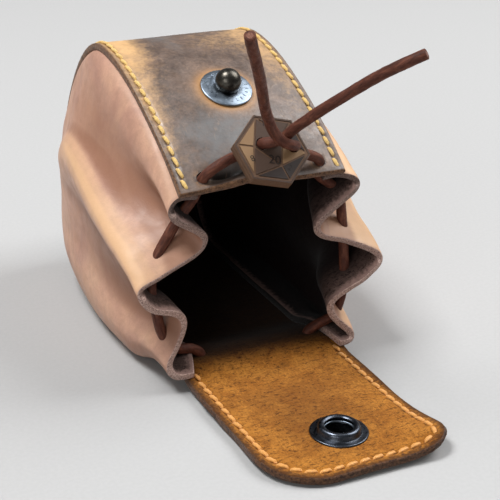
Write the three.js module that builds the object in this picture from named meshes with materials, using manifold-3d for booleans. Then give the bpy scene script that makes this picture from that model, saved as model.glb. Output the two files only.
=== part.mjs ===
// Drawstring dice bag. One leather strap makes the flap, the base, the back and the top.
// Two pleated gussets close its sides. A drawcord runs round the mouth, and a hexagonal
// toggle slides on its two ends. A ball stud and a socket snap the flap shut.
// Millimetres, +Z up, mouth towards -Y. Origin: on the flat underside of the base, 45 mm
// behind the line where the mouth meets the flap.
import * as THREE from 'three';
import { mergeVertices } from 'three/addons/utils/BufferGeometryUtils.js';
import Module from 'manifold-3d';

const wasm = await Module();
wasm.setup();

// Driving dimensions.
const CLEAR = 0.3; // between pieces that touch on the real bag
const STRAP_HALF_WIDTH = 25.55;
const STRAP_THICK = 2.2;
const STRAP_CROWN = 2.6; // how far the middle of the top stands above its edges
const GUSSET_THICK = 1.8;
const GUSSET_STANDOFF = 1.3; // gusset to strap
const CORD_RADIUS = 1.5;
const CORD_HOLE_RADIUS = 1.9;

const FOLD_Y = -49; // the crease between the flap and the base
const FLAP_TIP_Y = -102.7;
const FLAP_CORNER_LEFT = 16;
const FLAP_CORNER_RIGHT = 8;
const FLAP_LIFT = 0.8; // the flap lies on the socket's cap
const CORD_RIDGE = 3.5; // the base rises over the cord that crosses under it

const SEAM_INSET = 2.2; // from the strap's edge to the middle of the stitches
const FLAP_SEAM_INSET = 3.1;
const THREAD_WIDTH = 1.0;
const THREAD_THICK = 0.5;
const THREAD_SUNK = 0.15;
const GROOVE_WIDTH = 1.6;
const GROOVE_DEPTH = 1.0;

const STUD_ALONG = 0.748; // place of the stud, as a share of the top's length from the back
const STUD_FLANGE_RADIUS = 7.6;
const BALL_RADIUS = 3.75;
const POST_RADIUS = 1.7;
const SOCKET_Y = -85.4;
const SOCKET_FLANGE_RADIUS = 8.0;
const SOCKET_MOUTH_RADIUS = 3.9;
const SOCKET_BARREL_RADIUS = 4.6;
const SOCKET_CAP_RADIUS = 7.4;

const TOGGLE_RADIUS = 10.9; // hexagon, middle to corner
const TOGGLE_LAYER = 1.7;
const TOGGLE_FACE = [0.1, -42.4, 67.8]; // middle of the front face
const TOGGLE_LEAN = THREE.MathUtils.degToRad(48.2); // front face, away from level
const TOGGLE_YAW = THREE.MathUtils.degToRad(-4.5);
const TOGGLE_TURN = THREE.MathUtils.degToRad(-14);
const TOGGLE_HOLES = [[-2.86, 1.15], [5.82, 1.61]];

const LATHE_SEGMENTS = 20;

// Materials, one per finish.
const FINISHES = {
  strap_leather: { color: 0x4a3a30, roughness: 0.55, metalness: 0 },
  gusset_leather: { color: 0xc99a78, roughness: 0.6, metalness: 0 },
  thread: { color: 0xe3a93a, roughness: 0.6, metalness: 0 },
  cord: { color: 0x7a4636, roughness: 0.6, metalness: 0 },
  toggle_leather: { color: 0x5a3d2e, roughness: 0.6, metalness: 0 },
  nickel: { color: 0xc9cdd2, roughness: 0.3, metalness: 1 },
  gunmetal: { color: 0x3a3b3f, roughness: 0.3, metalness: 1 },
};

const bag = new THREE.Group();

function addMesh(name, geometry, finish, parent = bag) {
  const mesh = new THREE.Mesh(geometry, new THREE.MeshStandardMaterial(FINISHES[finish]));
  mesh.name = name;
  parent.add(mesh);
  return mesh;
}

// Booleans: a closed geometry in, a closed geometry out.
function toSolid(geometry) {
  const bare = geometry.clone();
  bare.deleteAttribute('normal');
  bare.deleteAttribute('uv');
  const merged = mergeVertices(bare, 1e-5);
  return new wasm.Manifold(new wasm.Mesh({
    numProp: 3,
    vertProperties: new Float32Array(merged.getAttribute('position').array),
    triVerts: new Uint32Array(merged.getIndex().array),
  }));
}

function toGeometry(solid) {
  const mesh = solid.getMesh();
  const geometry = new THREE.BufferGeometry();
  geometry.setAttribute('position', new THREE.BufferAttribute(mesh.vertProperties, 3));
  geometry.setIndex(new THREE.BufferAttribute(mesh.triVerts, 1));
  geometry.computeVertexNormals();
  return geometry;
}

function cut(geometry, ...tools) {
  const start = toSolid(geometry);
  return toGeometry(tools.reduce((solid, tool) => solid.subtract(toSolid(tool)), start));
}

// A bent sheet: a box whose outer face lies on outer(u, v) and whose inner face is
// `thickness` behind it. u and v run from 0 to 1, and du x dv points outwards.
function bentSheet(outer, thickness, stepsU, stepsV) {
  const nudge = 1e-3;
  const outward = (u, v) => {
    const [u0, u1] = [Math.max(u - nudge, 0), Math.min(u + nudge, 1)];
    const [v0, v1] = [Math.max(v - nudge, 0), Math.min(v + nudge, 1)];
    const du = outer(u1, v).sub(outer(u0, v));
    const dv = outer(u, v1).sub(outer(u, v0));
    return du.cross(dv).normalize();
  };
  const box = new THREE.BoxGeometry(1, 1, 1, stepsU, stepsV, 1);
  const position = box.getAttribute('position');
  for (let i = 0; i < position.count; i += 1) {
    const u = position.getX(i) + 0.5;
    const v = position.getY(i) + 0.5;
    const depth = (0.5 - position.getZ(i)) * thickness;
    const point = outer(u, v).addScaledVector(outward(u, v), -depth);
    position.setXYZ(i, point.x, point.y, point.z);
  }
  box.computeVertexNormals();
  return box;
}

// A ring or knob turned about Z. The profile is a list of [radius, height].
function turned(profile) {
  const points = profile.map(([radius, height]) => new THREE.Vector2(radius, height));
  return new THREE.LatheGeometry(points, LATHE_SEGMENTS).rotateX(Math.PI / 2);
}

function closedRing(profile) {
  return turned([...profile, profile[0]]);
}

// A round cord through a list of points.
function roundCord(points, radius, step) {
  const route = new THREE.CatmullRomCurve3(points.map((p) => new THREE.Vector3(...p)));
  const sides = 8;
  const section = new THREE.Shape();
  for (let i = 0; i < sides; i += 1) {
    const angle = (i / sides) * 2 * Math.PI;
    const [x, y] = [radius * Math.cos(angle), radius * Math.sin(angle)];
    if (i === 0) section.moveTo(x, y);
    else section.lineTo(x, y);
  }
  const steps = Math.round(route.getLength() / step);
  return new THREE.ExtrudeGeometry(section, { extrudePath: route, steps });
}

// The strap's outer face, seen from the side as (y, z).
function baseProfile() {
  const path = new THREE.Path();
  path.moveTo(FOLD_Y + CLEAR, FLAP_LIFT);
  path.bezierCurveTo(-43, FLAP_LIFT, -41, CORD_RIDGE, -35.5, CORD_RIDGE);
  path.bezierCurveTo(-30, CORD_RIDGE, -26, 0, -19, 0);
  path.lineTo(35, 0);
  path.bezierCurveTo(50, 0, 57.8, 12, 57.8, 28.5);
  path.lineTo(58, 38.5);
  return path;
}

function topProfile() {
  const path = new THREE.Path();
  path.moveTo(58, 38.9);
  path.bezierCurveTo(57.5, 50.7, 40, 83, 20.8, 83);
  path.bezierCurveTo(2, 83, -26, 67.7, -39, 56.9);
  return path;
}

const base = baseProfile();
const top = topProfile();

const smoothstep = THREE.MathUtils.smoothstep;

// The top is pulled up in the middle, most of all between the stud and the mouth.
function crownAt(path, along, x) {
  if (path !== top) return 0;
  const length = smoothstep(along, 0.45, 0.75) * (1 - 0.2 * smoothstep(along, 0.85, 1));
  return STRAP_CROWN * length * (1 - (x / STRAP_HALF_WIDTH) ** 2);
}

// The direction out of the strap at a share `along` its profile.
function strapOutward(path, along) {
  const tangent = path.getTangentAt(along);
  return new THREE.Vector3(0, tangent.y, -tangent.x);
}

function strapPoint(path, along, x, height) {
  const place = path.getPointAt(along);
  const lift = height + crownAt(path, along, x);
  return new THREE.Vector3(x, place.x, place.y).addScaledVector(strapOutward(path, along), lift);
}

// A stretch of strap between two sides, as a bent sheet `height` above the outer face.
function strapSheet(path, [x0, x1], [a0, a1], height, thickness, steps) {
  const outer = (u, v) => strapPoint(
    path,
    THREE.MathUtils.lerp(a0, a1, v),
    THREE.MathUtils.lerp(x1, x0, u),
    height,
  );
  return bentSheet(outer, thickness, steps[0], steps[1]);
}

// One side's run of stitches, or the groove that it lies in.
function seamRun(path, side, range, width, height, thickness) {
  const middle = side * (STRAP_HALF_WIDTH - SEAM_INSET);
  const edges = [middle - width / 2, middle + width / 2];
  return strapSheet(path, edges, range, height, thickness, [1, 36]);
}

const seamThread = (path, side, range) => (
  seamRun(path, side, range, THREAD_WIDTH, -THREAD_SUNK, THREAD_THICK));

const seamGroove = (path, side, range) => (
  seamRun(path, side, range, GROOVE_WIDTH, 0.5, GROOVE_DEPTH + 0.5));

// The drawcord, from under the left top hole, out and in through the left gusset's folds,
// across under the base, and up the right side. The last points on each side lie in holes.
const LOOP_ROUTE = [
  [-17.9, -33.8, 56.3], [-19.2, -33.7, 53.6], [-21.9, -33.8, 50.3], [-25.3, -34.2, 46.0],
  [-28.6, -34.5, 41.2], [-31.2, -35.0, 36.8], [-32.8, -35.9, 28.7], [-31.6, -36.5, 22.7],
  [-29.8, -37.2, 15.2], [-25.8, -37.5, 10.3], [-20.5, -36.5, 8.4], [-17.6, -35.7, 5.9],
  [-16.6, -35.5, 2.9], [-13.5, -35.5, 1.75], [-5.0, -35.5, 1.7],
  [5.0, -35.5, 1.7], [13.5, -35.5, 1.75], [16.6, -35.5, 2.9],
  [17.6, -35.7, 5.9], [20.5, -37.0, 8.5], [24.5, -38.0, 10.9], [27.2, -37.3, 15.7],
  [28.3, -36.5, 22.7], [28.4, -36.0, 27.7], [28.0, -35.2, 35.6], [27.6, -34.6, 41.2],
  [27.0, -34.2, 45.5], [24.4, -33.8, 50.5], [20.3, -33.7, 53.9], [18.1, -33.6, 56.1],
];

const STRAND_ROUTES = {
  left: [
    [-17.8, -34.3, 57.4], [-17.6, -36.0, 59.4], [-16.4, -36.9, 61.3], [-13.8, -37.2, 63.0],
    [-10.0, -36.8, 64.4], [-6.5, -36.1, 65.1], [-5.0, -36.0, 65.3],
  ],
  right: [
    [18.3, -34.3, 57.4], [18.3, -36.1, 59.4], [17.2, -37.1, 61.0], [14.9, -37.6, 62.2],
    [12.3, -37.7, 63.2], [10.4, -37.6, 63.8], [9.3, -37.5, 64.0],
  ],
};

// The two ends, from behind the toggle, through its holes, crossing in front of it, and out.
const TAIL_ROUTES = {
  left: [
    [-4.6, -36.0, 65.3], [-3.2, -36.1, 65.5], [-2.2, -36.9, 66.2], [-2.1, -38.3, 67.1],
    [-2.1, -39.6, 68.1], [-2.3, -41.0, 69.2], [-1.5, -42.7, 69.8], [0.7, -43.0, 70.1],
    [2.8, -43.5, 71.0], [4.1, -45.0, 73.1], [5.5, -47.4, 75.6], [8.4, -52.5, 80.5],
    [12.7, -58.9, 86.5], [17.0, -65.0, 92.1], [20.8, -70.7, 96.6], [25.3, -74.7, 100.0],
  ],
  right: [
    [8.9, -37.5, 64.0], [7.5, -37.8, 64.2], [6.6, -38.7, 64.8], [6.5, -40.0, 65.7],
    [6.4, -41.4, 66.8], [6.2, -42.8, 68.0], [5.8, -44.6, 68.7], [4.0, -46.0, 69.5],
    [1.1, -46.8, 71.0], [-0.9, -46.9, 72.7], [-2.8, -47.3, 75.2], [-4.7, -48.6, 78.5],
    [-7.3, -51.6, 82.4], [-13.0, -59.6, 92.5], [-18.1, -66.5, 100.8], [-21.5, -70.7, 106.3],
    [-22.9, -72.7, 108.6],
  ],
};

function addDrawcord() {
  addMesh('drawcord_loop', roundCord(LOOP_ROUTE, CORD_RADIUS, 3.2), 'cord');
  for (const side of ['left', 'right']) {
    addMesh(`drawcord_strand_${side}`, roundCord(STRAND_ROUTES[side], CORD_RADIUS, 2.5), 'cord');
    addMesh(`drawcord_tail_${side}`, roundCord(TAIL_ROUTES[side], CORD_RADIUS, 3.2), 'cord');
  }
}

// The strap's three parts.
function addStrap() {
  const width = [-STRAP_HALF_WIDTH, STRAP_HALF_WIDTH];
  const baseSeam = [0.03, 0.98];
  const topSeam = [0.02, 0.98];
  const loopHole = roundCord(LOOP_ROUTE, CORD_HOLE_RADIUS, 3.2);
  const strandHoles = ['left', 'right'].map(
    (side) => roundCord(STRAND_ROUTES[side], CORD_HOLE_RADIUS, 2.5));
  const baseGrooves = [-1, 1].map((side) => seamGroove(base, side, baseSeam));
  const topGrooves = [-1, 1].map((side) => seamGroove(top, side, topSeam));

  const baseSheet = strapSheet(base, width, [0, 1], 0, STRAP_THICK, [2, 38]);
  addMesh('strap_base', cut(baseSheet, loopHole, ...baseGrooves), 'strap_leather');

  const topSheet = strapSheet(top, width, [0, 1], 0, STRAP_THICK, [8, 30]);
  const postHole = new THREE.CylinderGeometry(POST_RADIUS + 0.4, POST_RADIUS + 0.4, 12, 16);
  postHole.rotateX(Math.PI / 2);
  postHole.applyMatrix4(studFrame());
  addMesh('strap_top', cut(topSheet, postHole, ...strandHoles, ...topGrooves), 'strap_leather');

  for (const [name, side] of [['left', -1], ['right', 1]]) {
    addMesh(`seam_thread_base_${name}`, seamThread(base, side, baseSeam), 'thread');
    addMesh(`seam_thread_top_${name}`, seamThread(top, side, topSeam), 'thread');
  }
}

// The flap's outline, `inset` inside its edge: up the left side, round the tip, down the
// right side. With `back` it runs the other way, to close a band.
function flapLine(shape, inset, back = false) {
  const half = STRAP_HALF_WIDTH - inset;
  const left = FLAP_CORNER_LEFT - inset;
  const right = FLAP_CORNER_RIGHT - inset;
  const tip = FLAP_TIP_Y + inset;
  const start = FOLD_Y - CLEAR;
  if (back) {
    shape.lineTo(half, start);
    shape.lineTo(half, tip + right);
    shape.absarc(half - right, tip + right, right, 0, -Math.PI / 2, true);
    shape.absarc(-half + left, tip + left, left, -Math.PI / 2, -Math.PI, true);
    shape.lineTo(-half, start);
  } else {
    shape.moveTo(-half, start);
    shape.lineTo(-half, tip + left);
    shape.absarc(-half + left, tip + left, left, Math.PI, 1.5 * Math.PI, false);
    shape.absarc(half - right, tip + right, right, 1.5 * Math.PI, 2 * Math.PI, false);
    shape.lineTo(half, start);
  }
}

function flapBand(width, bottom, thickness) {
  const shape = new THREE.Shape();
  flapLine(shape, FLAP_SEAM_INSET - width / 2);
  flapLine(shape, FLAP_SEAM_INSET + width / 2, true);
  const band = new THREE.ExtrudeGeometry(shape, {
    depth: thickness, bevelEnabled: false, curveSegments: 8,
  });
  return band.translate(0, 0, bottom);
}

function addFlap() {
  const outline = new THREE.Shape();
  flapLine(outline, 0);
  const plate = new THREE.ExtrudeGeometry(outline, {
    depth: STRAP_THICK, bevelEnabled: false, curveSegments: 8,
  });
  plate.translate(0, 0, FLAP_LIFT);
  const face = FLAP_LIFT + STRAP_THICK;
  const hole = new THREE.CylinderGeometry(
    SOCKET_BARREL_RADIUS + CLEAR, SOCKET_BARREL_RADIUS + CLEAR, 12, LATHE_SEGMENTS);
  hole.rotateX(Math.PI / 2);
  hole.translate(0, SOCKET_Y, face);
  const groove = flapBand(GROOVE_WIDTH, face - GROOVE_DEPTH, GROOVE_DEPTH + 0.5);
  addMesh('strap_flap', cut(plate, hole, groove), 'strap_leather');
  const threadBottom = face - THREAD_SUNK - THREAD_THICK;
  addMesh('seam_thread_flap', flapBand(THREAD_WIDTH, threadBottom, THREAD_THICK), 'thread');
}

// Gussets. Each station is a slice from the base to the top, `back` being its share of the
// way from the mouth to the back. A slice's points are [reach from the middle, share of the
// height], and its ends are the flanges that lie under the strap.
const FOLDED_MOUTHS = {
  left: [
    [29.0, 0.01], [31.6, 0.07], [26.2, 0.325], [35.6, 0.418], [38.9, 0.525], [30.5, 0.607],
    [18.3, 0.738], [29.2, 0.916],
  ],
  right: [
    [27.5, 0.01], [29.0, 0.04], [21.6, 0.245], [33.6, 0.37], [38.9, 0.475], [30.5, 0.595],
    [17.6, 0.705], [31.6, 0.93],
  ],
};

const FOLDED_THROATS = {
  left: [
    [30.5, -0.01], [33.4, 0.08], [29.8, 0.31], [36.2, 0.435], [39.8, 0.565], [32.5, 0.655],
    [23.4, 0.735], [28.6, 0.90],
  ],
  right: [
    [29.0, -0.01], [31.0, 0.07], [25.4, 0.26], [34.6, 0.395], [38.9, 0.515], [30.0, 0.63],
    [21.5, 0.73], [30.4, 0.92],
  ],
};

const BACK_SLICES = [
  { back: 0.22,
    slice: [[31.5, -0.02], [35.2, 0.09], [33.2, 0.29], [36.6, 0.44], [40.0, 0.585],
      [32.8, 0.685], [29.0, 0.77], [29.2, 0.91]] },
  { back: 0.37,
    slice: [[32.5, -0.01], [36.2, 0.10], [35.2, 0.28], [35.6, 0.43], [39.6, 0.60],
      [33.0, 0.705], [30.6, 0.80], [29.0, 0.92]] },
  { back: 0.56,
    slice: [[30.5, 0.01], [34.4, 0.13], [34.6, 0.28], [34.8, 0.43], [37.0, 0.61],
      [33.2, 0.71], [30.6, 0.80], [28.2, 0.91]] },
  { back: 0.76,
    slice: [[28.0, 0.06], [29.6, 0.17], [30.2, 0.30], [30.6, 0.42], [30.6, 0.54],
      [30.0, 0.66], [28.9, 0.79], [27.2, 0.91]] },
  { back: 0.92,
    slice: [0.06, 0.17, 0.30, 0.42, 0.54, 0.66, 0.79, 0.91].map((share) => [25.8, share]) },
];

const FLANGE_REACH = 19.5;
const EDGE_REACH = 25.9;
const MOUTH_ALONG = 0.035; // where the gusset starts, as a share of the base's length

// Where a slice's point lies in space, for a gusset on `side`.
function gussetPoint(back, reach, share, side) {
  const depth = -(STRAP_THICK + GUSSET_STANDOFF);
  const low = strapPoint(base, THREE.MathUtils.lerp(MOUTH_ALONG, 1, back), STRAP_HALF_WIDTH, depth);
  const high = strapPoint(top, 1 - back, STRAP_HALF_WIDTH, depth);
  return low.lerp(high, share).setX(side * reach);
}

// A track for each of a slice's points, as (back, reach, share) from the mouth to the back.
function gussetTracks(name) {
  const stations = [
    { back: 0, slice: FOLDED_MOUTHS[name] },
    { back: 0.1, slice: FOLDED_THROATS[name] },
    ...BACK_SLICES,
  ].map(({ back, slice }) => [
    [back, FLANGE_REACH, 0], [back, EDGE_REACH, 0],
    ...slice.map(([reach, share]) => [back, reach, share]),
    [back, EDGE_REACH, 1], [back, FLANGE_REACH, 1],
  ]);
  return stations[0].map((_, i) => new THREE.CatmullRomCurve3(
    stations.map((station) => new THREE.Vector3(...station[i])), false, 'catmullrom'));
}

function gussetSheet(name, side) {
  const tracks = gussetTracks(name);
  const outer = (u, v) => {
    const marks = tracks.map((track) => track.getPoint(side > 0 ? u : 1 - u));
    const points = marks.map(({ x, y, z }) => gussetPoint(x, y, z, side));
    return new THREE.CatmullRomCurve3(points).getPoint(v);
  };
  return bentSheet(outer, GUSSET_THICK, 13, 28);
}

function addGussets() {
  const cordHole = roundCord(LOOP_ROUTE, CORD_HOLE_RADIUS, 3.2);
  for (const [name, side] of [['left', -1], ['right', 1]]) {
    addMesh(`gusset_${name}`, cut(gussetSheet(name, side), cordHole), 'gusset_leather');
  }
}

// The stud's frame: its middle on the strap's outer face, +Z out of the leather.
function studFrame() {
  const point = strapPoint(top, STUD_ALONG, 0, 0);
  const outward = strapOutward(top, STUD_ALONG);
  const lean = Math.atan2(-outward.y, outward.z);
  return new THREE.Matrix4().makeRotationX(lean).setPosition(point);
}

function addStud() {
  const stud = new THREE.Group();
  stud.applyMatrix4(studFrame());
  bag.add(stud);

  const inner = POST_RADIUS + CLEAR;
  addMesh('stud_flange', closedRing([
    [inner, CLEAR], [7.2, CLEAR], [STUD_FLANGE_RADIUS, 0.5], [7.4, 0.85], [4.8, 1.1],
    [3.6, 0.85], [inner, 0.8],
  ]), 'nickel', stud);

  const ballMiddle = 2.9;
  const ball = [];
  const steps = 8;
  const neckAngle = -0.47; // where the ball meets its neck, from level
  for (let i = 0; i < steps; i += 1) {
    const angle = THREE.MathUtils.lerp(neckAngle, Math.PI / 2, i / steps);
    ball.push([BALL_RADIUS * Math.cos(angle), ballMiddle + BALL_RADIUS * Math.sin(angle)]);
  }
  addMesh('ball_stud', turned([
    [0, -4.0], [1.2, -4.0], [POST_RADIUS, -3.6], [POST_RADIUS, 1.1], [3.2, 1.15],
    ...ball, [0, ballMiddle + BALL_RADIUS],
  ]), 'gunmetal', stud);

  addMesh('stud_washer', closedRing([
    [inner, -3.3], [4.4, -3.3], [5.2, -2.85], [5.2, -2.55], [inner, -2.55],
  ]), 'nickel', stud);
}

function addSocket() {
  const socket = new THREE.Group();
  socket.position.set(0, SOCKET_Y, FLAP_LIFT + STRAP_THICK);
  bag.add(socket);

  const barrelEnd = -1.9;
  const wall = 4.0; // inside of the barrel, under the spring ring's groove
  const groove = 4.75; // inside of the collar, where the spring ring sits
  addMesh('socket_flange', closedRing([
    [SOCKET_BARREL_RADIUS, CLEAR], [7.6, CLEAR], [SOCKET_FLANGE_RADIUS, 0.5], [7.7, 0.9],
    [6.3, 0.95], [5.9, 1.4], [5.7, 2.3], [5.2, 2.7], [4.3, 2.7], [SOCKET_MOUTH_RADIUS, 2.3],
    [SOCKET_MOUTH_RADIUS, 1.9], [groove, 1.7], [groove, 0.5], [wall, 0.3], [wall, barrelEnd],
    [SOCKET_BARREL_RADIUS, barrelEnd],
  ]), 'gunmetal', socket);

  const wire = 0.32;
  addMesh('socket_spring_ring', new THREE.TorusGeometry(
    groove - CLEAR - wire, wire, 8, LATHE_SEGMENTS).translate(0, 0, 1.1), 'nickel', socket);

  const capBottom = -(FLAP_LIFT + STRAP_THICK);
  addMesh('socket_cap', turned([
    [0, capBottom], [7.2, capBottom], [SOCKET_CAP_RADIUS, capBottom + 0.2],
    [7.3, capBottom + FLAP_LIFT - CLEAR], [0, capBottom + FLAP_LIFT - CLEAR],
  ]), 'gunmetal', socket);
}

// The toggle: two leather hexagons, one behind the other, with a hole for each cord end.
function toggleLayer() {
  const shape = new THREE.Shape();
  const sides = 6;
  for (let i = 0; i < sides; i += 1) {
    const angle = TOGGLE_TURN + (i / sides) * 2 * Math.PI;
    const [x, y] = [TOGGLE_RADIUS * Math.cos(angle), TOGGLE_RADIUS * Math.sin(angle)];
    if (i === 0) shape.moveTo(x, y);
    else shape.lineTo(x, y);
  }
  const holes = TOGGLE_HOLES.map(([x, y]) => {
    const place = new THREE.Vector2(x, y).rotateAround(new THREE.Vector2(), TOGGLE_TURN);
    return new THREE.Path().absarc(place.x, place.y, CORD_HOLE_RADIUS, 0, 2 * Math.PI);
  });
  shape.holes.push(...holes);
  return new THREE.ExtrudeGeometry(shape, {
    depth: TOGGLE_LAYER, bevelEnabled: false, curveSegments: 12,
  });
}

function addToggle() {
  const toggle = new THREE.Group();
  toggle.position.set(...TOGGLE_FACE);
  toggle.rotation.set(TOGGLE_LEAN, 0, TOGGLE_YAW, 'ZXY');
  bag.add(toggle);
  addMesh('toggle_front', toggleLayer(), 'toggle_leather', toggle)
    .position.z = -TOGGLE_LAYER;
  addMesh('toggle_back', toggleLayer(), 'toggle_leather', toggle)
    .position.z = -2 * TOGGLE_LAYER - CLEAR;
}

addStrap();
addFlap();
addGussets();
addStud();
addSocket();
addToggle();
addDrawcord();

export default bag;
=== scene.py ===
# Drawstring dice bag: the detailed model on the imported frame. Lengths in the helpers are in
# millimetres, as in the CAD; MM turns them into Blender's metres.
import math

import bpy
import numpy as np
from mathutils import Matrix, Vector, noise


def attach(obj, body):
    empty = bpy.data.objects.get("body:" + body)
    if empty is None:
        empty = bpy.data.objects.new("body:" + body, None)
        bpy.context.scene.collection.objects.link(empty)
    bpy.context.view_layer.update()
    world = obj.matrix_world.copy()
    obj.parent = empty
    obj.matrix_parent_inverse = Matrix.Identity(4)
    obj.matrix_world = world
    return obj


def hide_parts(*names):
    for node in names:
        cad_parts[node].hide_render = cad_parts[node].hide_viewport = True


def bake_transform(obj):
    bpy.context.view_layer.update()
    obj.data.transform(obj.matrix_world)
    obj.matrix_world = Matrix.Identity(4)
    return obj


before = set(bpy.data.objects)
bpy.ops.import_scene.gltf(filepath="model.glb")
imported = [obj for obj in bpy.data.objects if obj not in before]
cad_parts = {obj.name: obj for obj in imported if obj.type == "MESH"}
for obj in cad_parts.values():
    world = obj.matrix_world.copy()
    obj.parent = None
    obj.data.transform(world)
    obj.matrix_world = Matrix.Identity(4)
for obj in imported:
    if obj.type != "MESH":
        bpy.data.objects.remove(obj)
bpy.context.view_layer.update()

MM = 0.001

# The strap, as in the CAD.
HALF_WIDTH = 25.55
THICK = 2.2
CROWN = 2.6
FOLD_Y = -49.0
FLAP_TIP_Y = -102.7
CORNER_LEFT = 16.0
CORNER_RIGHT = 8.0
FLAP_LIFT = 0.8
CORD_RIDGE = 3.5
SPLIT_Y = -19.0          # where the front piece of the strap meets the rest, on the flat base
STUD_ALONG = 0.748
SOCKET_Y = -85.4
SOCKET_HOLE = 4.62

# Seams.
SEAM_INSET = 2.2
FLAP_SEAM_INSET = 3.1
STITCH_PITCH = 3.8
STITCH_LENGTH = 3.65
STITCH_WIDTH = 1.15
STITCH_HEIGHT = 0.9

GUSSET_THICK = 2.1
CORD_RADIUS = 1.5

# How the bag bends: the top's share grows with height, the flap's with distance from the fold.
TOP_BEND = ((0, 0, 0.004), (0, 0, 0.056))
FLAP_BEND = ((0, -0.0465, 0.002), (0, -0.0515, 0.002))


# ---------------------------------------------------------------- curves

def smoothstep(x, low, high):
    t = np.clip((np.asarray(x, float) - low) / (high - low), 0, 1)
    return t * t * (3 - 2 * t)


def bump_at(x, middle, width):
    return np.exp(-((np.asarray(x, float) - middle) / width) ** 2)


def bezier(p0, p1, p2, p3):
    t = np.linspace(0, 1, 60)[:, None]
    p0, p1, p2, p3 = (np.array(p, float) for p in (p0, p1, p2, p3))
    return ((1 - t) ** 3 * p0 + 3 * (1 - t) ** 2 * t * p1
            + 3 * (1 - t) * t ** 2 * p2 + t ** 3 * p3)


def lengths(points):
    return np.concatenate([[0], np.cumsum(np.linalg.norm(np.diff(points, axis=0), axis=1))])


class Profile:
    """A line in the (y, z) plane, read by its share of length."""

    def __init__(self, *stretches):
        points = np.concatenate([stretches[0]] + [s[1:] for s in stretches[1:]])
        self.points = points
        self.s = lengths(points)
        self.length = self.s[-1]

    def at(self, along):
        s = np.asarray(along, float) * self.length
        return np.stack([np.interp(s, self.s, self.points[:, i]) for i in (0, 1)], -1)

    def outward(self, along):
        a = np.clip(np.asarray(along, float), 0.002, 0.998)
        d = self.at(a + 0.002) - self.at(a - 0.002)
        d /= np.linalg.norm(d, axis=-1, keepdims=True)
        return np.stack([d[..., 1], -d[..., 0]], -1)


BASE = Profile(
    bezier((FOLD_Y + 0.3, FLAP_LIFT), (-43, FLAP_LIFT), (-41, CORD_RIDGE), (-35.5, CORD_RIDGE)),
    bezier((-35.5, CORD_RIDGE), (-30, CORD_RIDGE), (-26, 0), (-19, 0)),
    np.array([(-19.0, 0.0), (35.0, 0.0)]),
    bezier((35, 0), (50, 0), (57.8, 12), (57.8, 28.5)),
    np.array([(57.8, 28.5), (58.0, 38.5)]),
)
TOP = Profile(
    bezier((58, 38.9), (57.5, 50.7), (40, 83), (20.8, 83)),
    bezier((20.8, 83), (2, 83), (-26, 67.7), (-39, 56.9)),
)


def base_share(y):
    """The share of the base's length at y."""
    return np.interp(y, BASE.points[:, 0], BASE.s) / BASE.length


def spline(points, at, power=0.25):
    """A Catmull-Rom curve through points, read at shares of its length in points:
    centripetal at power 0.25, uniform at power 0."""
    p = np.array(points, float)
    p = np.concatenate([[2 * p[0] - p[1]], p, [2 * p[-1] - p[-2]]])
    place = at * (len(p) - 3)
    i = np.minimum(place.astype(int), len(p) - 4)
    f = (place - i)[:, None]
    a, b, c, d = p[i], p[i + 1], p[i + 2], p[i + 3]

    def gap(u, v):
        return np.maximum(((v - u) ** 2).sum(1)[:, None], 1e-9) ** power

    g0, g1, g2 = gap(a, b), gap(b, c), gap(c, d)
    t1 = ((b - a) / g0 - (c - a) / (g0 + g1) + (c - b) / g1) * g1
    t2 = ((c - b) / g1 - (d - b) / (g1 + g2) + (d - c) / g2) * g1
    return (b + t1 * f + (3 * (c - b) - 2 * t1 - t2) * f ** 2
            + (2 * (b - c) + t1 + t2) * f ** 3)


def read_line(points, at):
    """A line's points at lengths along it."""
    s = lengths(points)
    return np.stack([np.interp(at, s, points[:, i]) for i in range(points.shape[1])], -1)


def evenly(points, count):
    """The same line with its points spaced evenly."""
    return read_line(points, np.linspace(0, lengths(points)[-1], count))


def evenly_stepped(points, step):
    return evenly(points, max(2, int(round(lengths(points)[-1] / step)) + 1))


def rounded(line, width):
    """Rounds a line's tight turns over width points, and keeps its broad shape and its ends."""
    reach = int(3 * width)
    weights = np.exp(-0.5 * (np.arange(-reach, reach + 1) / width) ** 2)
    weights /= weights.sum()

    def soften(values):
        before = 2 * values[0] - values[reach:0:-1]
        after = 2 * values[-1] - values[-2:-reach - 2:-1]
        padded = np.concatenate([before, values, after])
        return np.stack([np.convolve(padded[:, i], weights, "valid") for i in range(3)], 1)

    soft = soften(line)
    return soft + soften(line - soft)


def ripple(points, scale, seed):
    """Smooth noise from -1 to 1 at each point; scale is the size of a ripple."""
    shift = Vector((seed * 17.3, seed * 5.1, seed * 9.7))
    return np.array([noise.noise(Vector(p) / scale + shift) for p in points.reshape(-1, 3)]
                    ).reshape(points.shape[:-1])


# ---------------------------------------------------------------- meshes

def make_object(name, verts, faces, materials, face_material=None, attributes=None, sharp=48):
    mesh = bpy.data.meshes.new(name)
    mesh.from_pydata((np.asarray(verts, float) * MM).tolist(), [], faces)
    for m in materials:
        mesh.materials.append(m)
    if face_material is not None:
        mesh.polygons.foreach_set("material_index", np.asarray(face_material, np.int32))
    for key, values in (attributes or {}).items():
        values = np.asarray(values, np.float32)
        kind = "FLOAT_VECTOR" if values.ndim == 2 else "FLOAT"
        layer = mesh.attributes.new(key, kind, "POINT")
        layer.data.foreach_set("vector" if values.ndim == 2 else "value", values.ravel())
    mesh.polygons.foreach_set("use_smooth", np.ones(len(mesh.polygons), bool))
    mesh.set_sharp_from_angle(angle=math.radians(sharp))
    mesh.validate()
    mesh.update()
    obj = bpy.data.objects.new(name, mesh)
    bpy.context.scene.collection.objects.link(obj)
    return obj


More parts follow.
